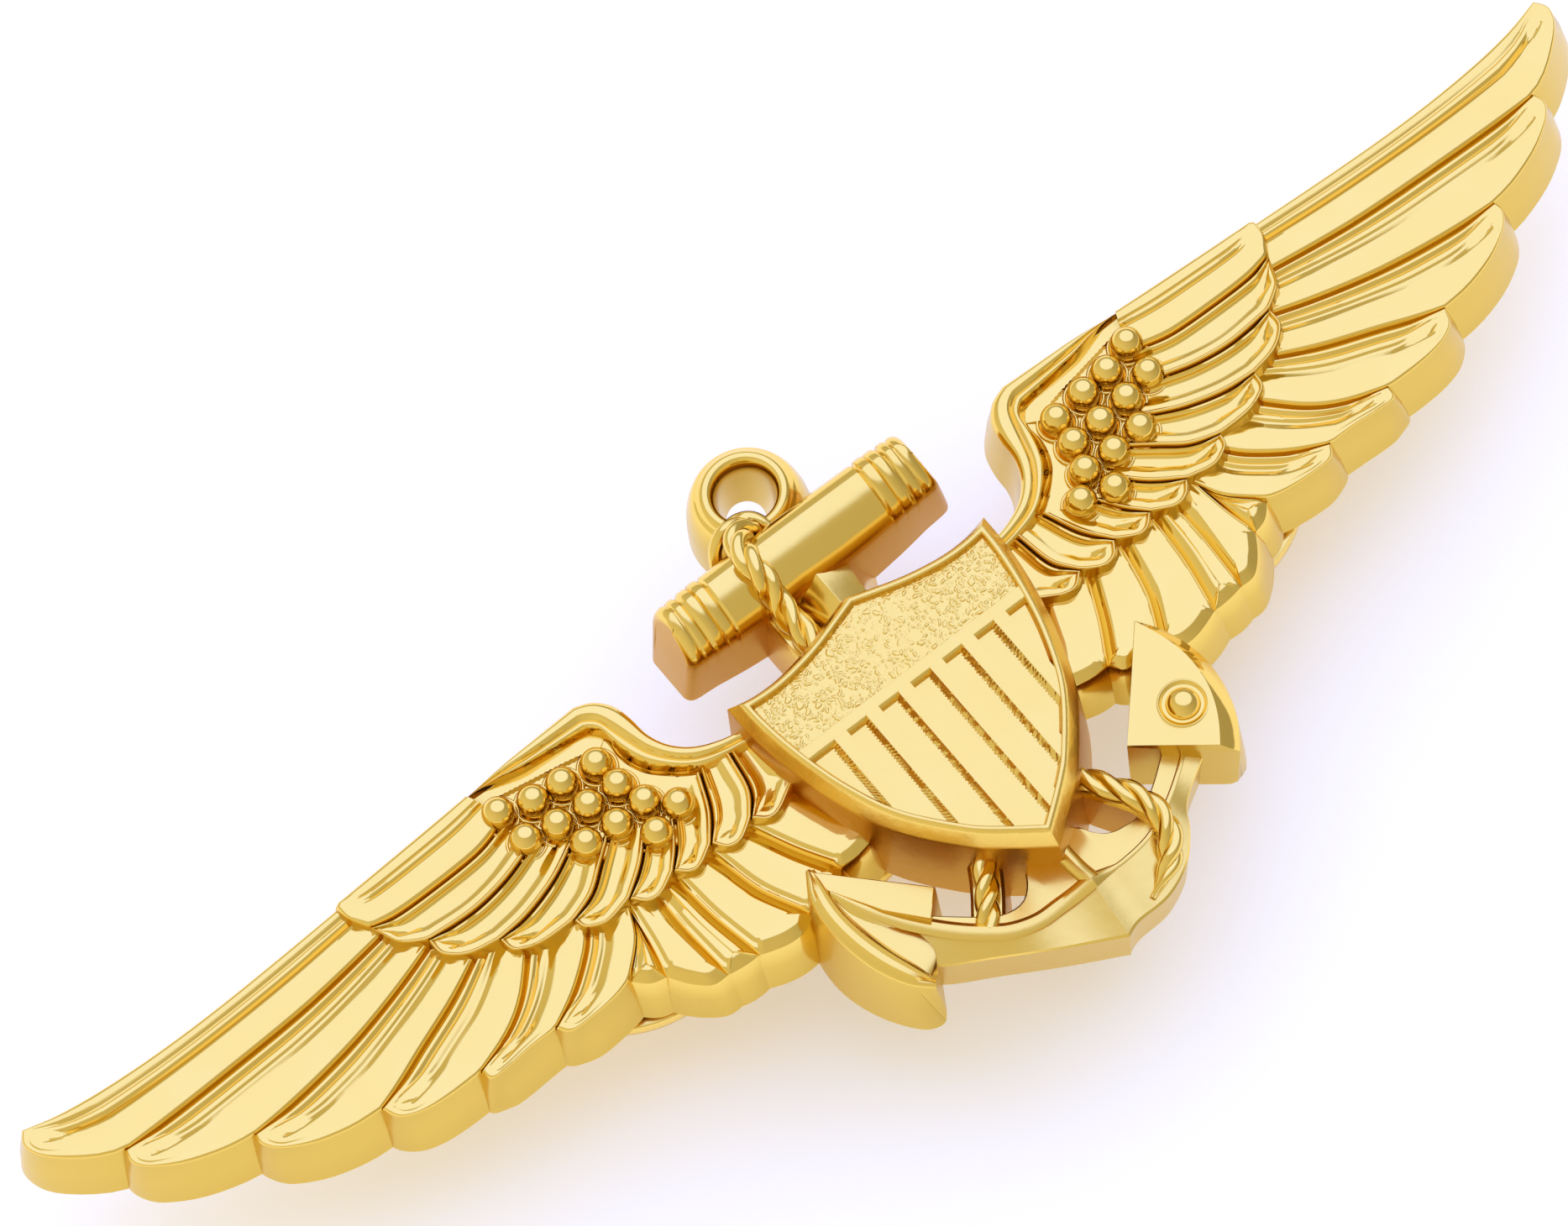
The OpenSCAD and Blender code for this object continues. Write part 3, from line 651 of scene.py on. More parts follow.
def stripe_bar(piece, recess):
    """A raised bar to the right of a sunk stripe. Its slope into that stripe is milled."""
    low_z = FIELD_Z - 0.1
    mill_pitch, mill_depth = 0.145, 0.07
    section = [(0.2, low_z, 1), (0.21, FIELD_Z + 0.01, 1), (0.32, FIELD_Z + 0.1, 1),
               (0.4, BAR_Z - 0.04, 0.8), (0.45, BAR_Z - 0.002, 0), (0.52, BAR_Z, 0),
               (0.96, BAR_Z, 0), (1.0, BAR_Z - 0.01, 0), (1.03, FIELD_Z + 0.05, 0),
               (1.04, low_z, 0)]
    start = FESS_LOW + 0.05
    lowest = -6
    rows_n = int((start - lowest) / mill_pitch * 2)
    rails = []
    for x, z, milled in section:
        foot = foot_of_stripe(recess + x, 0.56)
        ys = np.linspace(start, foot, rows_n)
        wave = np.where(np.floor((start - ys) / (mill_pitch / 2)) % 2 == 0, 0, mill_depth)
        rails.append(np.column_stack([recess + x + wave * milled, ys, np.full(rows_n, z)]))
    piece.loft(rails)


def pebbled_field(piece):
    """The sunk top field, hammered all over with small pebbles."""
    across, up = 330, 96
    pebbles_per_mm, pebble_height = 5.6, 0.045
    field_low, field_high = FESS_HIGH + 0.02, 5.3
    side_gap, top_gap = 0.64, 0.66
    rows = []
    for j in range(up):
        share_up = j / (up - 1)
        row = []
        for i in range(across):
            share = 2 * i / (across - 1) - 1
            x = share * half_width(field_low + share_up * (field_high - field_low), side_gap)
            top = np.interp(abs(x), SHIELD_TOP[:, 0], SHIELD_TOP[:, 1]) - top_gap
            y = field_low + (top - field_low) * share_up
            spot = Vector((x * pebbles_per_mm, y * pebbles_per_mm, 0))
            spot += Vector((noise.noise(spot * 0.6), noise.noise(spot * 0.6 + Vector((7, 3, 1))), 0))
            near = noise.voronoi(spot)[0]
            rise = smooth((near[1] - near[0]) * 2.2) + 0.5 * noise.noise(spot * 0.3)
            row.append((x, y, FIELD_Z + 0.02 + pebble_height * rise))
        rows.append(row)
    edge = rows[0] + [r[-1] for r in rows[1:]] + rows[-1][-2::-1] + [r[0] for r in rows[-2:0:-1]]
    foot = [(x, y, FIELD_Z - 0.08) for x, y, z in edge]
    piece.shell([(rows, False, False), ([edge, foot], True, False)], [foot])


# ---- anchor ----
STOCK_Y = 9.45
STOCK_MIDDLE_Z = 2.75
# The stock's cross-section from its lower foot over the arched front to its upper foot
STOCK_PROFILE = [(7.95, 0), (7.95, 1), (7.96, 2), (7.98, 2.7), (8.0, 2.95), (8.07, 3.15),
                 (8.22, 3.36), (8.45, 3.59), (8.75, 3.81), (9.05, 3.98), (9.35, 4.11),
                 (9.62, 4.2), (9.85, 4.26), (9.97, 4.27), (10.04, 4.24), (10.16, 4.19),
                 (10.36, 4.08), (10.56, 3.9), (10.72, 3.66), (10.83, 3.36), (10.88, 3),
                 (10.9, 2), (10.95, 1), (11, 0)]
# Turned bands near each end: how far out, and how much they swell
STOCK_BANDS = [(3.44, 0), (3.5, -0.05), (3.55, -0.08), (3.6, -0.05), (3.66, 0.02), (3.76, 0.04),
               (3.9, 0.04), (4.0, 0.03), (4.04, -0.02), (4.07, -0.05), (4.1, -0.02), (4.15, 0.02),
               (4.28, 0.03), (4.42, 0.03), (4.5, 0), (4.56, -0.06), (4.62, -0.08), (4.67, -0.04),
               (4.72, 0.01), (4.8, 0.02), (4.9, 0.02), (4.96, 0), (5.0, -0.05), (5.04, -0.05),
               (5.09, 0), (5.15, 0.01)]


def stock():
    """The crossbar: an arched front with turned bands near each flared, rounded end."""
    made = Piece()
    round_r, end_slant, end_taper, underside_lift = 0.36, 0.6, 0.05, 0.45
    top_z = 4.3
    half = [(x, swell, 0) for x, swell in [(0, 0), (1.2, 0), (2.4, 0)] + STOCK_BANDS]
    for turn in np.radians([15, 30, 45, 60, 75, 88]):
        half.append((5.15 + round_r * math.sin(turn), 0, round_r * (1 - math.cos(turn))))
    stations = [(-x, swell, pinch) for x, swell, pinch in half[:0:-1]] + half
    rows = []
    for x, swell, pinch in stations:
        share = abs(x) / half[-1][0]
        row = []
        for y, z in STOCK_PROFILE:
            # arch is 0 on the upright walls and 1 on the arched front
            arch = smooth((z - 2.6) / 0.8)
            grown = 1 + swell * arch / 1.4 - end_taper * share**2
            off = (y - STOCK_Y) * grown
            if y < STOCK_Y:
                off += underside_lift * share**2 * (1 - z / top_z)
            off -= math.copysign(min(pinch, abs(off)), off)
            slant = end_slant * (1 - z / top_z) ** 0.85 * smooth((abs(x) - 4.75) / 0.6)
            rise = z
            if z > STOCK_MIDDLE_Z:
                rise = (z - STOCK_MIDDLE_Z) * grown + STOCK_MIDDLE_Z - pinch * arch * 0.6
            row.append((x + math.copysign(slant, x), STOCK_Y + off, rise))
        rows.append(row)
    made.shell([(rows, True, False)], [rows[0], rows[-1]])
    made.finish("anchor_stock_body", ["anchor_stock"], sharp=35, material="amber_shaded_gold")


def ring():
    """The anchor's ring, wider at its back, with a rolled lip round a tapering hole."""
    made = Piece()
    section = [(2.42, 12.58, 0), (2.38, 12.58, 0.8), (2.3, 12.58, 1.6), (2.2, 12.57, 2.15),
               (2.08, 12.57, 2.55), (1.97, 12.56, 2.8), (1.88, 12.56, 2.92), (1.82, 12.55, 2.96),
               (1.76, 12.55, 3.05), (1.68, 12.54, 3.17), (1.58, 12.54, 3.26), (1.47, 12.53, 3.3),
               (1.36, 12.53, 3.27), (1.26, 12.53, 3.17), (1.18, 12.53, 3.0), (1.13, 12.54, 2.75),
               (1.1, 12.58, 2.4), (1.02, 12.66, 1.8), (0.9, 12.8, 0.9), (0.78, 12.95, 0.3),
               (0.74, 13, 0)]
    rows = [[(r * math.cos(a), y + r * math.sin(a), z) for a in circle(72)]
            for r, y, z in section]
    made.shell([(rows, True, True)])
    made.finish("anchor_ring_body", ["anchor_ring"], sharp=50)


def left_and_right(left, right, count=22):
    """One rail out of a left and a right half that meet in the middle."""
    left, right = curve(left), curve(right)
    even = np.linspace(0, 1, count)
    return np.vstack([at(left, even)[::-1], at(right, even)[1:]])


def raised(rail, half, drop, way):
    """The rail of a ridge's shoulder, beside its crest and below it."""
    out = rail.copy()
    out[:, :2] += sideways(rail[:, :2]) * (np.ones(len(rail)) * half * way)[:, None]
    out[:, 2] -= drop
    return out


def crown():
    """Both arms: a flat upper face, a rounded ridge, and a broad bevel down to the V edge.

    The left ridge runs on up its fluke to a point.
    """
    made = Piece()
    upper = left_and_right(
        [(0.1, -5.3, 2.6), (-0.6, -5.35, 2.6), (-1.2, -5.6, 2.6), (-1.5, -6.05, 2.55),
         (-1.9, -6.4, 2.55), (-2.4, -6.5, 2.6), (-3.1, -6.35, 2.75), (-4, -5.7, 2.9),
         (-4.9, -4.95, 3), (-5.6, -4.25, 3.1), (-6.4, -3.2, 3.25), (-7.15, -2.1, 3.4)],
        [(0.1, -5.3, 2.6), (0.7, -5.3, 2.6), (1.25, -5.45, 2.6), (1.5, -5.85, 2.55),
         (1.85, -6.25, 2.55), (2.4, -6.45, 2.5), (3.3, -6.45, 2.45), (4.3, -5.9, 2.4),
         (5.3, -5.15, 2.4)], 40)
    ridge = left_and_right(
        [(0.28, -7.62, 3.4), (-0.5, -7.6, 3.22), (-1.2, -7.55, 3.12), (-2.1, -7.5, 3.08),
         (-3.1, -7.15, 3.1), (-4, -6.5, 3.16), (-4.9, -5.65, 3.26), (-5.8, -4.6, 3.4),
         (-6.6, -3.4, 3.52), (-7.22, -2.1, 3.56)],
        [(0.28, -7.62, 3.4), (0.9, -7.62, 3.1), (1.6, -7.65, 2.95), (2.9, -7.45, 2.8),
         (4.1, -6.9, 2.65), (5.2, -6.2, 2.55), (6.1, -5.5, 2.5)], 40)
    edge = left_and_right(
        [(0.15, -9.86, 2.3), (-1.9, -8.75, 2.35), (-4, -7.5, 2.35), (-5.9, -6.35, 2.4),
         (-6.4, -5.4, 2.75), (-6.85, -4.2, 2.95), (-7.15, -3.1, 3.15), (-7.3, -2.15, 3.4)],
        [(0.15, -9.86, 2.3), (0.8, -9.6, 2.2), (2.2, -9.5, 2.1), (3.5, -8.9, 2.05),
         (4.4, -7.95, 2.05), (5, -7.05, 2.1), (6.5, -6.1, 2.2)], 40)
    # how wide the ridge is, from its point on the left fluke to the right one's foot
    spread = np.concatenate([np.linspace(0.12, 1, 12), np.ones(27), np.linspace(1, 0.3, 8),
                             np.full(32, 0.3)])
    inner = raised(ridge, 0.34 * spread, 0.13 * spread, -1)
    outer = raised(ridge, 0.27 * spread, 0.13 * spread, 1)
    bevel = raised(ridge, 0.34 * spread, 0.22 * spread, 1)
    near = upper + (inner - upper) * 0.06
    near[:, 2] += 0.05
    far = edge + (bevel - edge) * 0.04
    far[:, 2] += 0.05
    belt, foot = raised(edge, 0.12, 0, 1), raised(edge, 0.22, 0, 1)
    belt[:, 2], foot[:, 2] = 1.2, 0.05
    made.loft([lift(upper, 0.05), upper, near, upper + (inner - upper) * 0.5,
               upper + (inner - upper) * 0.85, inner,
               raised(ridge, 0.17 * spread, 0.035 * spread, -1), ridge,
               raised(ridge, 0.14 * spread, 0.035 * spread, 1), outer, bevel,
               far, edge, belt, foot])
    # the short ridge that climbs from the arms to the shield
    spine = np.array([(0.2, -5.0, 3.08), (0.2, -6.2, 3.1), (0.22, -6.9, 3.2),
                      (0.27, -7.4, 3.36), (0.28, -7.62, 3.42)])
    shape = [(-0.48, -0.9), (-0.36, -0.26), (-0.26, -0.12), (-0.13, -0.03), (0, 0),
             (0.13, -0.03), (0.26, -0.12), (0.36, -0.26), (0.48, -0.9)]
    made.bar([spine + (x, 0, z) for x, z in shape], count=10)
    made.finish("anchor_arms", ["anchor_shank"], sharp=22, material="rubbed_gold")
    behind = Piece()
    neck(behind)
    pedestals(behind)
    behind.finish("anchor_shank_neck", sharp=30, material="amber_shaded_gold")


def neck(piece):
    """The shank's ridged neck between the shield and the crossbar, with the rope's step."""
    shape = [(-1.75, 0), (-1.2, 2.5), (-0.06, 3.27), (0, 3.3), (0.06, 3.27), (1.15, 2.6),
             (1.95, 0)]
    ys = [4.8, 7.2, 7.8, 8.6]
    flare = [1, 1, 1.08, 1.3]
    rails = [np.array([(x * f, y, z) for y, f in zip(ys, flare)]) for x, z in shape]
    piece.bar(rails, count=12)
    step = [(-2.75, 0), (-2.5, 2.5), (-2.35, 2.75), (-1.3, 2.75), (-1.2, 0)]
    piece.bar([np.array([(x, 4.8, z), (x, 8.5, z)]) for x, z in step], count=4)


LEFT_ROPE = [(-2, -4.1, 2.75), (-2.45, -4.9, 2.85), (-2.85, -5.5, 2.9), (-3.3, -6.1, 2.85),
             (-3.6, -6.5, 2.7)]
RIGHT_ROPE = [(2.45, -4.0, 2.7), (2.75, -4.6, 2.85), (3.2, -5.4, 2.95), (3.6, -6.2, 3),
              (3.75, -7.1, 2.95), (3.55, -7.9, 2.8), (3.1, -8.5, 2.65), (2.4, -8.95, 2.5),
              (1.7, -9.25, 2.35)]
TOP_ROPE = [(-0.75, 11.3, 3.3), (-1.15, 11.15, 3.6), (-1.5, 10.75, 4.1), (-1.7, 10.3, 4.4),
            (-1.8, 9.7, 4.55), (-1.8, 9.1, 4.45), (-1.8, 8.6, 4.15), (-1.8, 8.1, 3.6),
            (-1.77, 7.5, 3.3), (-1.73, 6.8, 3.15), (-1.7, 5.7, 3.1)]
RING_ROPE = [(-2.4, 10.8, 2.6), (-2.1, 11.3, 3.1), (-1.6, 11.6, 3.45), (-1.05, 11.6, 3.5),
             (-0.6, 11.35, 3.35), (-0.35, 10.95, 3.0)]


def pedestals(piece):
    """The metal that fills the space under each run of rope."""
    for run, reach in ((LEFT_ROPE, 0.62), (RIGHT_ROPE[:5], 0.5)):
        line = curve(run)
        rails = []
        for across, drop in ((-reach - 0.08, 9), (-reach, 0.45), (-reach + 0.12, 0.3),
                             (reach - 0.12, 0.3), (reach, 0.45), (reach + 0.08, 9)):
            rail = line.copy()
            rail[:, :2] += sideways(line[:, :2]) * across
            rail[:, 2] = np.maximum(rail[:, 2] - drop, 0.08)
            rails.append(rail)
        piece.bar(rails, count=16)


def rope(piece, run, radius, strands=3, pitch=3.5, taper=0.0, turned=0.0):
    """Strands laid round a run of rope. taper is the length over which its end thins out."""
    line = curve(run, 8)
    count = int(lengths(line)[-1] / 0.09)
    line = at(line, np.linspace(0, 1, count))
    ahead = np.gradient(line, axis=0)
    ahead /= np.linalg.norm(ahead, axis=1)[:, None]
    across = np.cross(ahead, (0, 0, 1))
    across /= np.linalg.norm(across, axis=1)[:, None]
    up = np.cross(across, ahead)
    run_out = lengths(line)
    left = run_out[-1] - run_out
    thin = np.ones(count) if taper == 0 else 0.25 + 0.75 * smooth(left / taper)
    for k in range(strands):
        turn = turned + 2 * math.pi * (k / strands - run_out / pitch)
        offset = (np.cos(turn)[:, None] * across + np.sin(turn)[:, None] * up)
        centre = line + offset * (radius * 0.44 * thin)[:, None]
        rows = []
        for i in range(count):
            size = radius * 0.58 * thin[i]
            rows.append([centre[i] + size * (math.cos(a) * across[i] + math.sin(a) * up[i])
                         for a in circle(12)])
        piece.shell([(rows, True, False)], [rows[0], rows[-1]])


def ropes():
    """The three runs of rope."""
    top, left, right = Piece(), Piece(), Piece()
    rope(top, TOP_ROPE, 0.56, turned=0.6)
    rope(top, RING_ROPE, 0.46, strands=2, pitch=5.5)
    rope(left, LEFT_ROPE, 0.46, pitch=2.9)
    rope(right, RIGHT_ROPE, 0.5, pitch=3.6, taper=1.8)
    top.finish("rope_over_stock", ["rope_top"], sharp=60)
    left.finish("rope_under_shield_left", ["rope_left"], sharp=60)
    right.finish("rope_round_right_arm", ["rope_right"], sharp=60)


def left_fluke():
    """The left palm: a crescent rim, the arm's ridge, a deep groove and a flat plate."""
    made = Piece()
    rim = [(-6.5, -7.3, 3.2), (-7.2, -6.6, 3.3), (-7.72, -5.6, 3.35), (-8, -4.6, 3.4),
           (-8.13, -3.5, 3.4), (-8.1, -2.5, 3.4), (-7.85, -1.6, 3.4), (-7.38, -0.8, 3.35)]
    foot = [(-6.2, -7.05, 0), (-6.6, -7.4, 0), (-7.3, -7.1, 0), (-8.1, -5.95, 0),
            (-8.6, -4.6, 0), (-8.7, -3.3, 0), (-8.4, -1.9, 0), (-7.4, -0.6, 0)]
    ridge = [(-6.35, -7.1, 3.3), (-6.7, -6.2, 3.45), (-7.05, -5.2, 3.55), (-7.3, -4.2, 3.6),
             (-7.42, -3.2, 3.6), (-7.4, -2.4, 3.6), (-7.3, -1.7, 3.55), (-7.2, -0.95, 3.4)]
    ditch = [(-6.25, -7.05, 3.0), (-6.45, -6.2, 3.05), (-6.75, -5.2, 3.05), (-7.0, -4.2, 3.1),
             (-7.2, -3.2, 3.2), (-7.25, -2.4, 3.35), (-7.2, -1.7, 3.4), (-7.15, -0.95, 3.35)]
    inner = [(-5.9, -6.5, 2.7), (-5.6, -5.9, 2.8), (-5.7, -5.1, 3.0), (-6.2, -4.2, 3.1),
             (-6.75, -3.2, 3.2), (-7.05, -2.4, 3.3), (-7.1, -1.7, 3.3), (-7.1, -0.95, 3.3)]
    rim, foot, ridge = curve(rim), curve(foot), curve(ridge)
    ditch, inner = curve(ditch), curve(inner)
    belly = rim + (ridge - rim) * 0.5
    belly[:, 2] += 0.1
    crease = rim + (ridge - rim) * 0.82
    crease[:, 2] -= 0.03
    made.loft([foot, raised(rim, 0.0, 0.12, 1), raised(rim, 0.03, 0.03, -1),
               raised(rim, 0.1, -0.03, -1), raised(rim, 0.2, -0.05, -1), belly, crease, ridge,
               raised(ridge, 0.06, 0.05, -1), ditch, inner, lift(inner, 0)])
    plate = np.array([(-7.38, -0.85), (-4.2, -4.3), (-5.1, -5.25), (-6.2, -3.9), (-7.25, -2.0)])
    prism(made, plate, 0.05, 3.52, tilt=0.1)
    made.finish("left_fluke_body", ["left_fluke"], sharp=40, material="rubbed_gold")


def prism(piece, outline, low, high, round_off=0.06, tilt=0.0):
    """A flat-topped solid with a softened top edge. The outline runs clockwise.

    tilt is how much its top drops for each millimetre to the right and up the badge.
    """
    def top(line, drop):
        slope = tilt * (line - outline.mean(0)).sum(1)
        return lift(line, high - drop - slope)
    rings = [lift(outline, low), top(outline, round_off),
             top(inset(outline, -round_off * 0.3), round_off * 0.3),
             top(inset(outline, -round_off), 0)]
    piece.shell([(rings, True, False)], [rings[0], rings[-1]])


def right_fluke():
    """The right palm: a flat face, a bevelled band down its outer side, a dome in a ring."""
    made = Piece()
    dome_x, dome_y, dome_r = 7.0, -4.4, 0.66
    face = join(cut(np.array([(4.45, -4.4), (7.68, -0.78)]), 0, 1, 16),
                curve([(7.68, -0.78), (8.05, -1.8), (8.27, -2.9), (8.22, -4), (7.95, -4.95),
                       (7.5, -5.8), (7.0, -6.5)]),
                cut(np.array([(7.0, -6.5), (4.45, -4.4)]), 0, 1, 16))[:-1]
    n_band = len(curve([(0, 0)] * 7))
    band = join(cut(np.array([(4.42, -4.42), (7.7, -0.7)]), 0, 1, 16),
                at(curve([(7.7, -0.7), (8.35, -1.6), (8.75, -2.8), (8.8, -3.9), (8.6, -5),
                          (8.2, -6), (7.5, -7)]), np.linspace(0, 1, n_band)),
                cut(np.array([(7.5, -7), (4.42, -4.42)]), 0, 1, 16))[:-1]
    edge_z = np.interp(np.hypot(*(band - face).T), [0, 0.5], [3.25, 2.83])
    reach = np.hypot(*(band - (7.5, -7)).T)
    foot = band + (band - (7, -4)) * 0.05
    foot += ((7.1, -6.3) - band) * (0.45 * smooth(1 - reach / 0.7))[:, None]
    angles = np.arctan2(face[:, 1] - dome_y, face[:, 0] - dome_x)
    rows = [lift(foot, 0), lift(band, edge_z - 0.06), lift(band + (face - band) * 0.04, edge_z),
            lift(face + (band - face) * 0.06, 3.27), lift(face, 3.3)]
    for r, z in ((0.97, 3.31), (0.93, 3.34), (0.89, 3.35), (0.85, 3.33), (0.81, 3.29),
                 (0.76, 3.26), (0.7, 3.25), (dome_r, 3.26)):
        rows.append([(dome_x + r * math.cos(a), dome_y + r * math.sin(a), z) for a in angles])
    for tilt in np.radians([12, 25, 38, 50, 62, 74, 84]):
        rows.append([(dome_x + dome_r * math.cos(tilt) * math.cos(a),
                      dome_y + dome_r * math.cos(tilt) * math.sin(a),
                      3.14 + 0.56 * math.sin(tilt)) for a in angles])
    made.shell([(rows, True, False)], [rows[0], rows[-1]])
    made.finish("right_fluke_body", ["right_fluke"], sharp=40)


shield()
stock()
ring()
crown()
ropes()
left_fluke()
right_fluke()


# ---- posts and clutches ----
HINGE_REACH = 2.75
HINGE_Z = -1.45
FLANGE_Z = -0.8
FLOOR_Z = -5.2
EAR_SLOPE = math.radians(38)


def block(piece, low, high, turned=None):
    """A box between two corners with its edges softened. turned moves each of its points."""
    soft = 0.04
    rings = []
    for inward, z in ((soft, low[2]), (0, low[2] + soft), (0, high[2] - soft), (soft, high[2])):
        x0, y0, x1, y1 = low[0] + inward, low[1] + inward, high[0] - inward, high[1] - inward
        ring = [(x0 + soft, y0, z), (x1 - soft, y0, z), (x1, y0 + soft, z), (x1, y1 - soft, z),
                (x1 - soft, y1, z), (x0 + soft, y1, z), (x0, y1 - soft, z), (x0, y0 + soft, z)]
        rings.append([turned(p) if turned else p for p in ring])
    piece.shell([(rings, True, False)], [rings[0], rings[-1]])


def post(name, centre):
    """A pointed post with two retaining grooves, on a solder pad with a fillet."""
    made = Piece()
    pad = [(1.5, 0.02), (1.52, -0.1), (1.5, -0.22), (1.42, -0.29), (1.2, -0.3), (0.85, -0.31),
           (0.68, -0.36), (0.58, -0.48), (0.55, -0.65)]
    grooves = [(0.55, -2.2), (0.5, -2.26), (0.5, -2.4), (0.55, -2.46), (0.55, -3.1), (0.5, -3.16),
               (0.5, -3.3), (0.55, -3.36)]
    point = [(0.55, -3.75), (0.52, -3.86), (0.3, -4.3), (0.17, -4.52), (0.12, -4.58)]
    made.lathe(centre, pad + grooves + point, 40)
    made.finish(f"{name}_post_turned", [f"{name}_post"], slot="bare_brass", sharp=35)


def flange(name, centre):
    """The clutch's thin cap: a beaded rim turned down, a raised ring and four lugs."""
    made = Piece()
    shape = [(0.86, 0), (1.8, 0), (2.4, 0.02), (3.6, 0), (4.55, 0), (4.65, -0.05), (4.66, -0.22),
             (4.74, -0.25), (4.86, -0.25), (4.95, -0.2), (5, -0.1), (5, 0.2), (4.95, 0.32),
             (4.82, 0.38), (4.4, 0.37), (3.4, 0.33), (2.2, 0.33), (1.9, 0.39), (1.2, 0.4),
             (0.95, 0.38), (0.86, 0.3)]
    made.lathe(centre, [(r, FLANGE_Z + up) for r, up in shape], 72, hollow=True)
    for side in (-1, 1):
        for end in (-1, 1):
            x = centre[0] + side * HINGE_REACH
            near, far = sorted((centre[1] + end * 1.5, centre[1] + end * 2.1))
            block(made, (x - 0.45, near, HINGE_Z - 0.5), (x + 0.45, far, FLANGE_Z + 0.1))
    made.finish(f"{name}_clutch_flange_pressed", [f"{name}_clutch_flange"], f"{name}_clutch",
                "plated_brass", 35)


def barrel(name, centre):
    """The closed barrel, slotted near its top on both sides for the ears' jaws."""
    made = Piece()
    slot_half, bore_r, outer_r = 0.6, 0.8, 1.7
    slot_z = HINGE_Z - 0.4
    wall = [(outer_r, 1.55), (outer_r - 0.04, 1.5), (outer_r - 0.04, 1.38), (outer_r, 1.33),
            (outer_r, 0.3), (outer_r - 0.05, 0.14), (outer_r - 0.16, 0.04),
            (outer_r - 0.35, 0.005)]
    cup = [(bore_r * 0.3, FLOOR_Z + 0.42), (bore_r, FLOOR_Z + 0.45), (bore_r, slot_z),
           (outer_r, slot_z)]
    made.lathe(centre, cup + [(r, FLOOR_Z + up) for r, up in wall], 56)
    for side in (-1, 1):
        start, end = math.asin(slot_half / outer_r), math.asin(slot_half / bore_r)
        outside = np.linspace(start, math.pi - start, 24)
        inside = np.linspace(math.pi - end, end, 24)
        ring = [(outer_r * math.cos(a), side * outer_r * math.sin(a)) for a in outside]
        ring += [(bore_r * math.cos(a), side * bore_r * math.sin(a)) for a in inside]
        walls = [[(centre[0] + x, centre[1] + y, z) for x, y in ring]
                 for z in (slot_z - 0.02, FLANGE_Z + 0.01)]
        made.shell([(walls, True, False)], [walls[0], walls[1]])
    made.finish(f"{name}_clutch_barrel_drawn", [f"{name}_clutch_barrel"], f"{name}_clutch",
                "plated_brass", 35)


def ear(name, which, centre, way):
    """A squeeze ear: knuckle and trunnions, a sloped wing with finger ribs, and a jaw."""
    made = Piece()

    def placed(p):
        return (centre[0] + way * p[0], centre[1] + p[1], p[2])

    def sloped(p):
        out, up = p[0], p[2]
        return placed((HINGE_REACH + out * math.cos(EAR_SLOPE) + up * math.sin(EAR_SLOPE), p[1],
                       HINGE_Z - out * math.sin(EAR_SLOPE) + up * math.cos(EAR_SLOPE)))

    turns = circle(24)
    rows = []
    for y, r in ((-2.1, 0.2), (-2.06, 0.24), (-1.38, 0.24), (-1.35, 0.38), (-1.3, 0.42),
                 (1.3, 0.42), (1.35, 0.38), (1.38, 0.24), (2.06, 0.24), (2.1, 0.2)):
        rows.append([placed((HINGE_REACH + r * math.cos(a), y, HINGE_Z + r * math.sin(a)))
                     for a in turns])
    made.shell([(rows, True, False)], [rows[0], rows[-1]])
    # the wing: an outline in the plane of the ear, thickened, with a slightly hollow upper face
    reach, half_wide = 3.0, 2.3
    edge = [(0.2, -1.3), (0.95, -1.32), (1.05, -2.2), (1.12, -half_wide), (1.5, -half_wide)]
    edge += [(reach - 3.4 + 3.4 * math.cos(a), 3.4 * math.sin(a))
             for a in np.linspace(-0.72, 0.72, 15)]
    edge += [(x, -y) for x, y in edge[4::-1]]
    outline = np.array(edge)
    middle = outline.mean(0)
    rings = []
    for share, up in ((0.97, -0.17), (1, -0.13), (1, 0.13), (0.97, 0.17), (0.8, 0.15),
                      (0.5, 0.12)):
        rings.append([sloped((*(middle + (p - middle) * share), up)) for p in outline])
    made.shell([(rings, True, False)], [rings[0], rings[-1]])
    for out in (1.6, 1.95, 2.3):
        rows = [[sloped((out + 0.07 * math.cos(a), y, 0.12 + 0.07 * math.sin(a)))
                 for a in turns[::3]] for y in (-1.1, -1.06, 1.06, 1.1)]
        made.shell([(rows, True, False)], [rows[0], rows[-1]])
    block(made, (0.64, -0.45, HINGE_Z - 0.15), (HINGE_REACH, 0.45, HINGE_Z + 0.15), placed)
    made.finish(f"{name}_{which}_ear_stamped", [f"{name}_clutch_{which}_ear"],
                f"{name}_{which}_ear", "spring_brass", 35)


def fixings():
    """Three posts, and on each a butterfly clutch made of cap, barrel and two ears."""
    for name, inner_way in (("left", 1), ("right", -1), ("centre", -1)):
        low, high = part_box(f"{name}_post")
        middle = (low + high) / 2
        centre = middle.x / MM, (middle.y - CENTRE_Y) / MM
        post(name, centre)
        flange(name, centre)
        barrel(name, centre)
        ear(name, "inner", centre, inner_way)
        ear(name, "outer", centre, -inner_way)


fixings()


# ---- studio ----
# The camera's place and the point it looks at, in badge millimetres, its lens and its tilt
CAMERA_SPOT = (-49.45, -101.6, 261.6)
CAMERA_AIM = (-1.596, 8.252, 2.0)
CAMERA_ROLL = -15.23
LENS_MM = 180.4


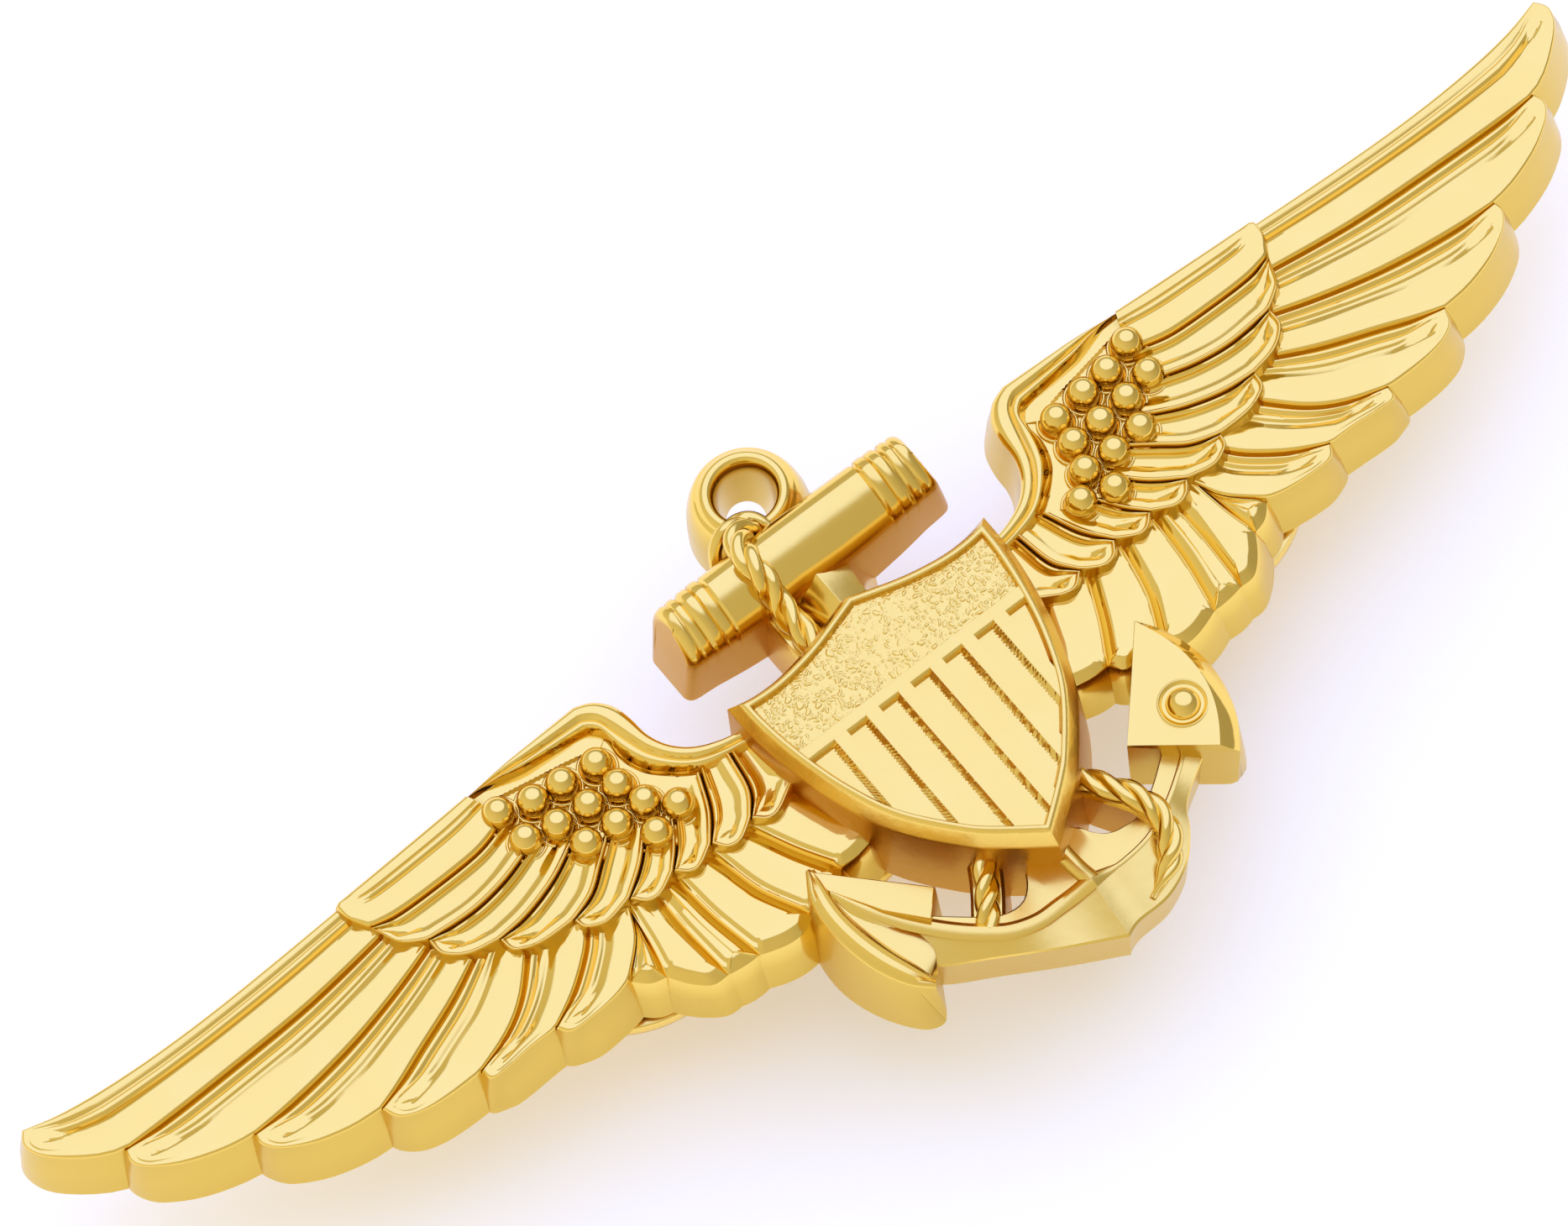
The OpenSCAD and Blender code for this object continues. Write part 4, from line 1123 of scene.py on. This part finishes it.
def paper_floor():
    """A wide sheet of pale paper under the clutches."""
    half = 1.5
    mesh = bpy.data.meshes.new("floor")
    mesh.from_pydata([(-half, -half, 0), (half, -half, 0), (half, half, 0), (-half, half, 0)], [],
                     [(0, 1, 2, 3)])
    floor = bpy.data.objects.new("floor", mesh)
    bpy.context.scene.collection.objects.link(floor)
    paper = bpy.data.materials.new("paper")
    paper.use_nodes = True
    shader = paper.node_tree.nodes["Principled BSDF"].inputs
    shader["Base Color"].default_value = (0.94, 0.9, 0.72, 1)
    shader["Roughness"].default_value = 0.9
    shader["Emission Color"].default_value = (1, 1, 1, 1)
    shader["Emission Strength"].default_value = 0.3
    mesh.materials.append(paper)


def room_light():
    """One large soft light overhead, in a pale room that is dimmer on the right."""
    world = bpy.data.worlds.new("room")
    bpy.context.scene.world = world
    world.use_nodes = True
    tree = world.node_tree
    towards = node(tree, "TexCoord").outputs["Generated"]
    diffuser_way = Vector((0.32, 0.36, 0.88)).normalized()
    nearness = node(tree, "VectorMath", {1: diffuser_way, 0: towards}, operation="DOT_PRODUCT")
    diffuser = node(tree, "MapRange", {"From Min": 0.68, "From Max": 0.78,
                                       "Value": nearness.outputs["Value"]},
                    interpolation_type="SMOOTHSTEP")
    across = node(tree, "SeparateXYZ", {"Vector": towards})
    dim = node(tree, "MapRange", {"From Min": -1, "To Min": 0.82, "To Max": 0.42,
                                  "Value": across.outputs["X"]})
    room = node(tree, "VectorMath", operation="SCALE")
    room.inputs[0].default_value = (1, 0.96, 0.88)
    tree.links.new(dim.outputs["Result"], room.inputs["Scale"])
    shade = node(tree, "Mix", {"B": (1.04, 1.22, 2.6, 1), "Factor": diffuser.outputs["Result"],
                               "A": room.outputs["Vector"]}, data_type="RGBA")
    tree.links.new(shade.outputs["Result"], tree.nodes["Background"].inputs["Color"])
    tree.nodes["Background"].inputs["Strength"].default_value = 1


def camera():
    """The camera, tilted to one side."""
    data = bpy.data.cameras.new("camera")
    data.lens = LENS_MM
    data.clip_start, data.clip_end = 0.01, 10
    made = bpy.data.objects.new("camera", data)
    scene = bpy.context.scene
    scene.collection.objects.link(made)
    made.location = in_frame(CAMERA_SPOT)
    aimed = (in_frame(CAMERA_AIM) - made.location).to_track_quat("-Z", "Y")
    made.rotation_euler = (aimed @ Quaternion((0, 0, 1), math.radians(CAMERA_ROLL))).to_euler()
    scene.camera = made
    scene.view_settings.view_transform = "Standard"
    scene.view_settings.look = "None"


paper_floor()
room_light()
camera()
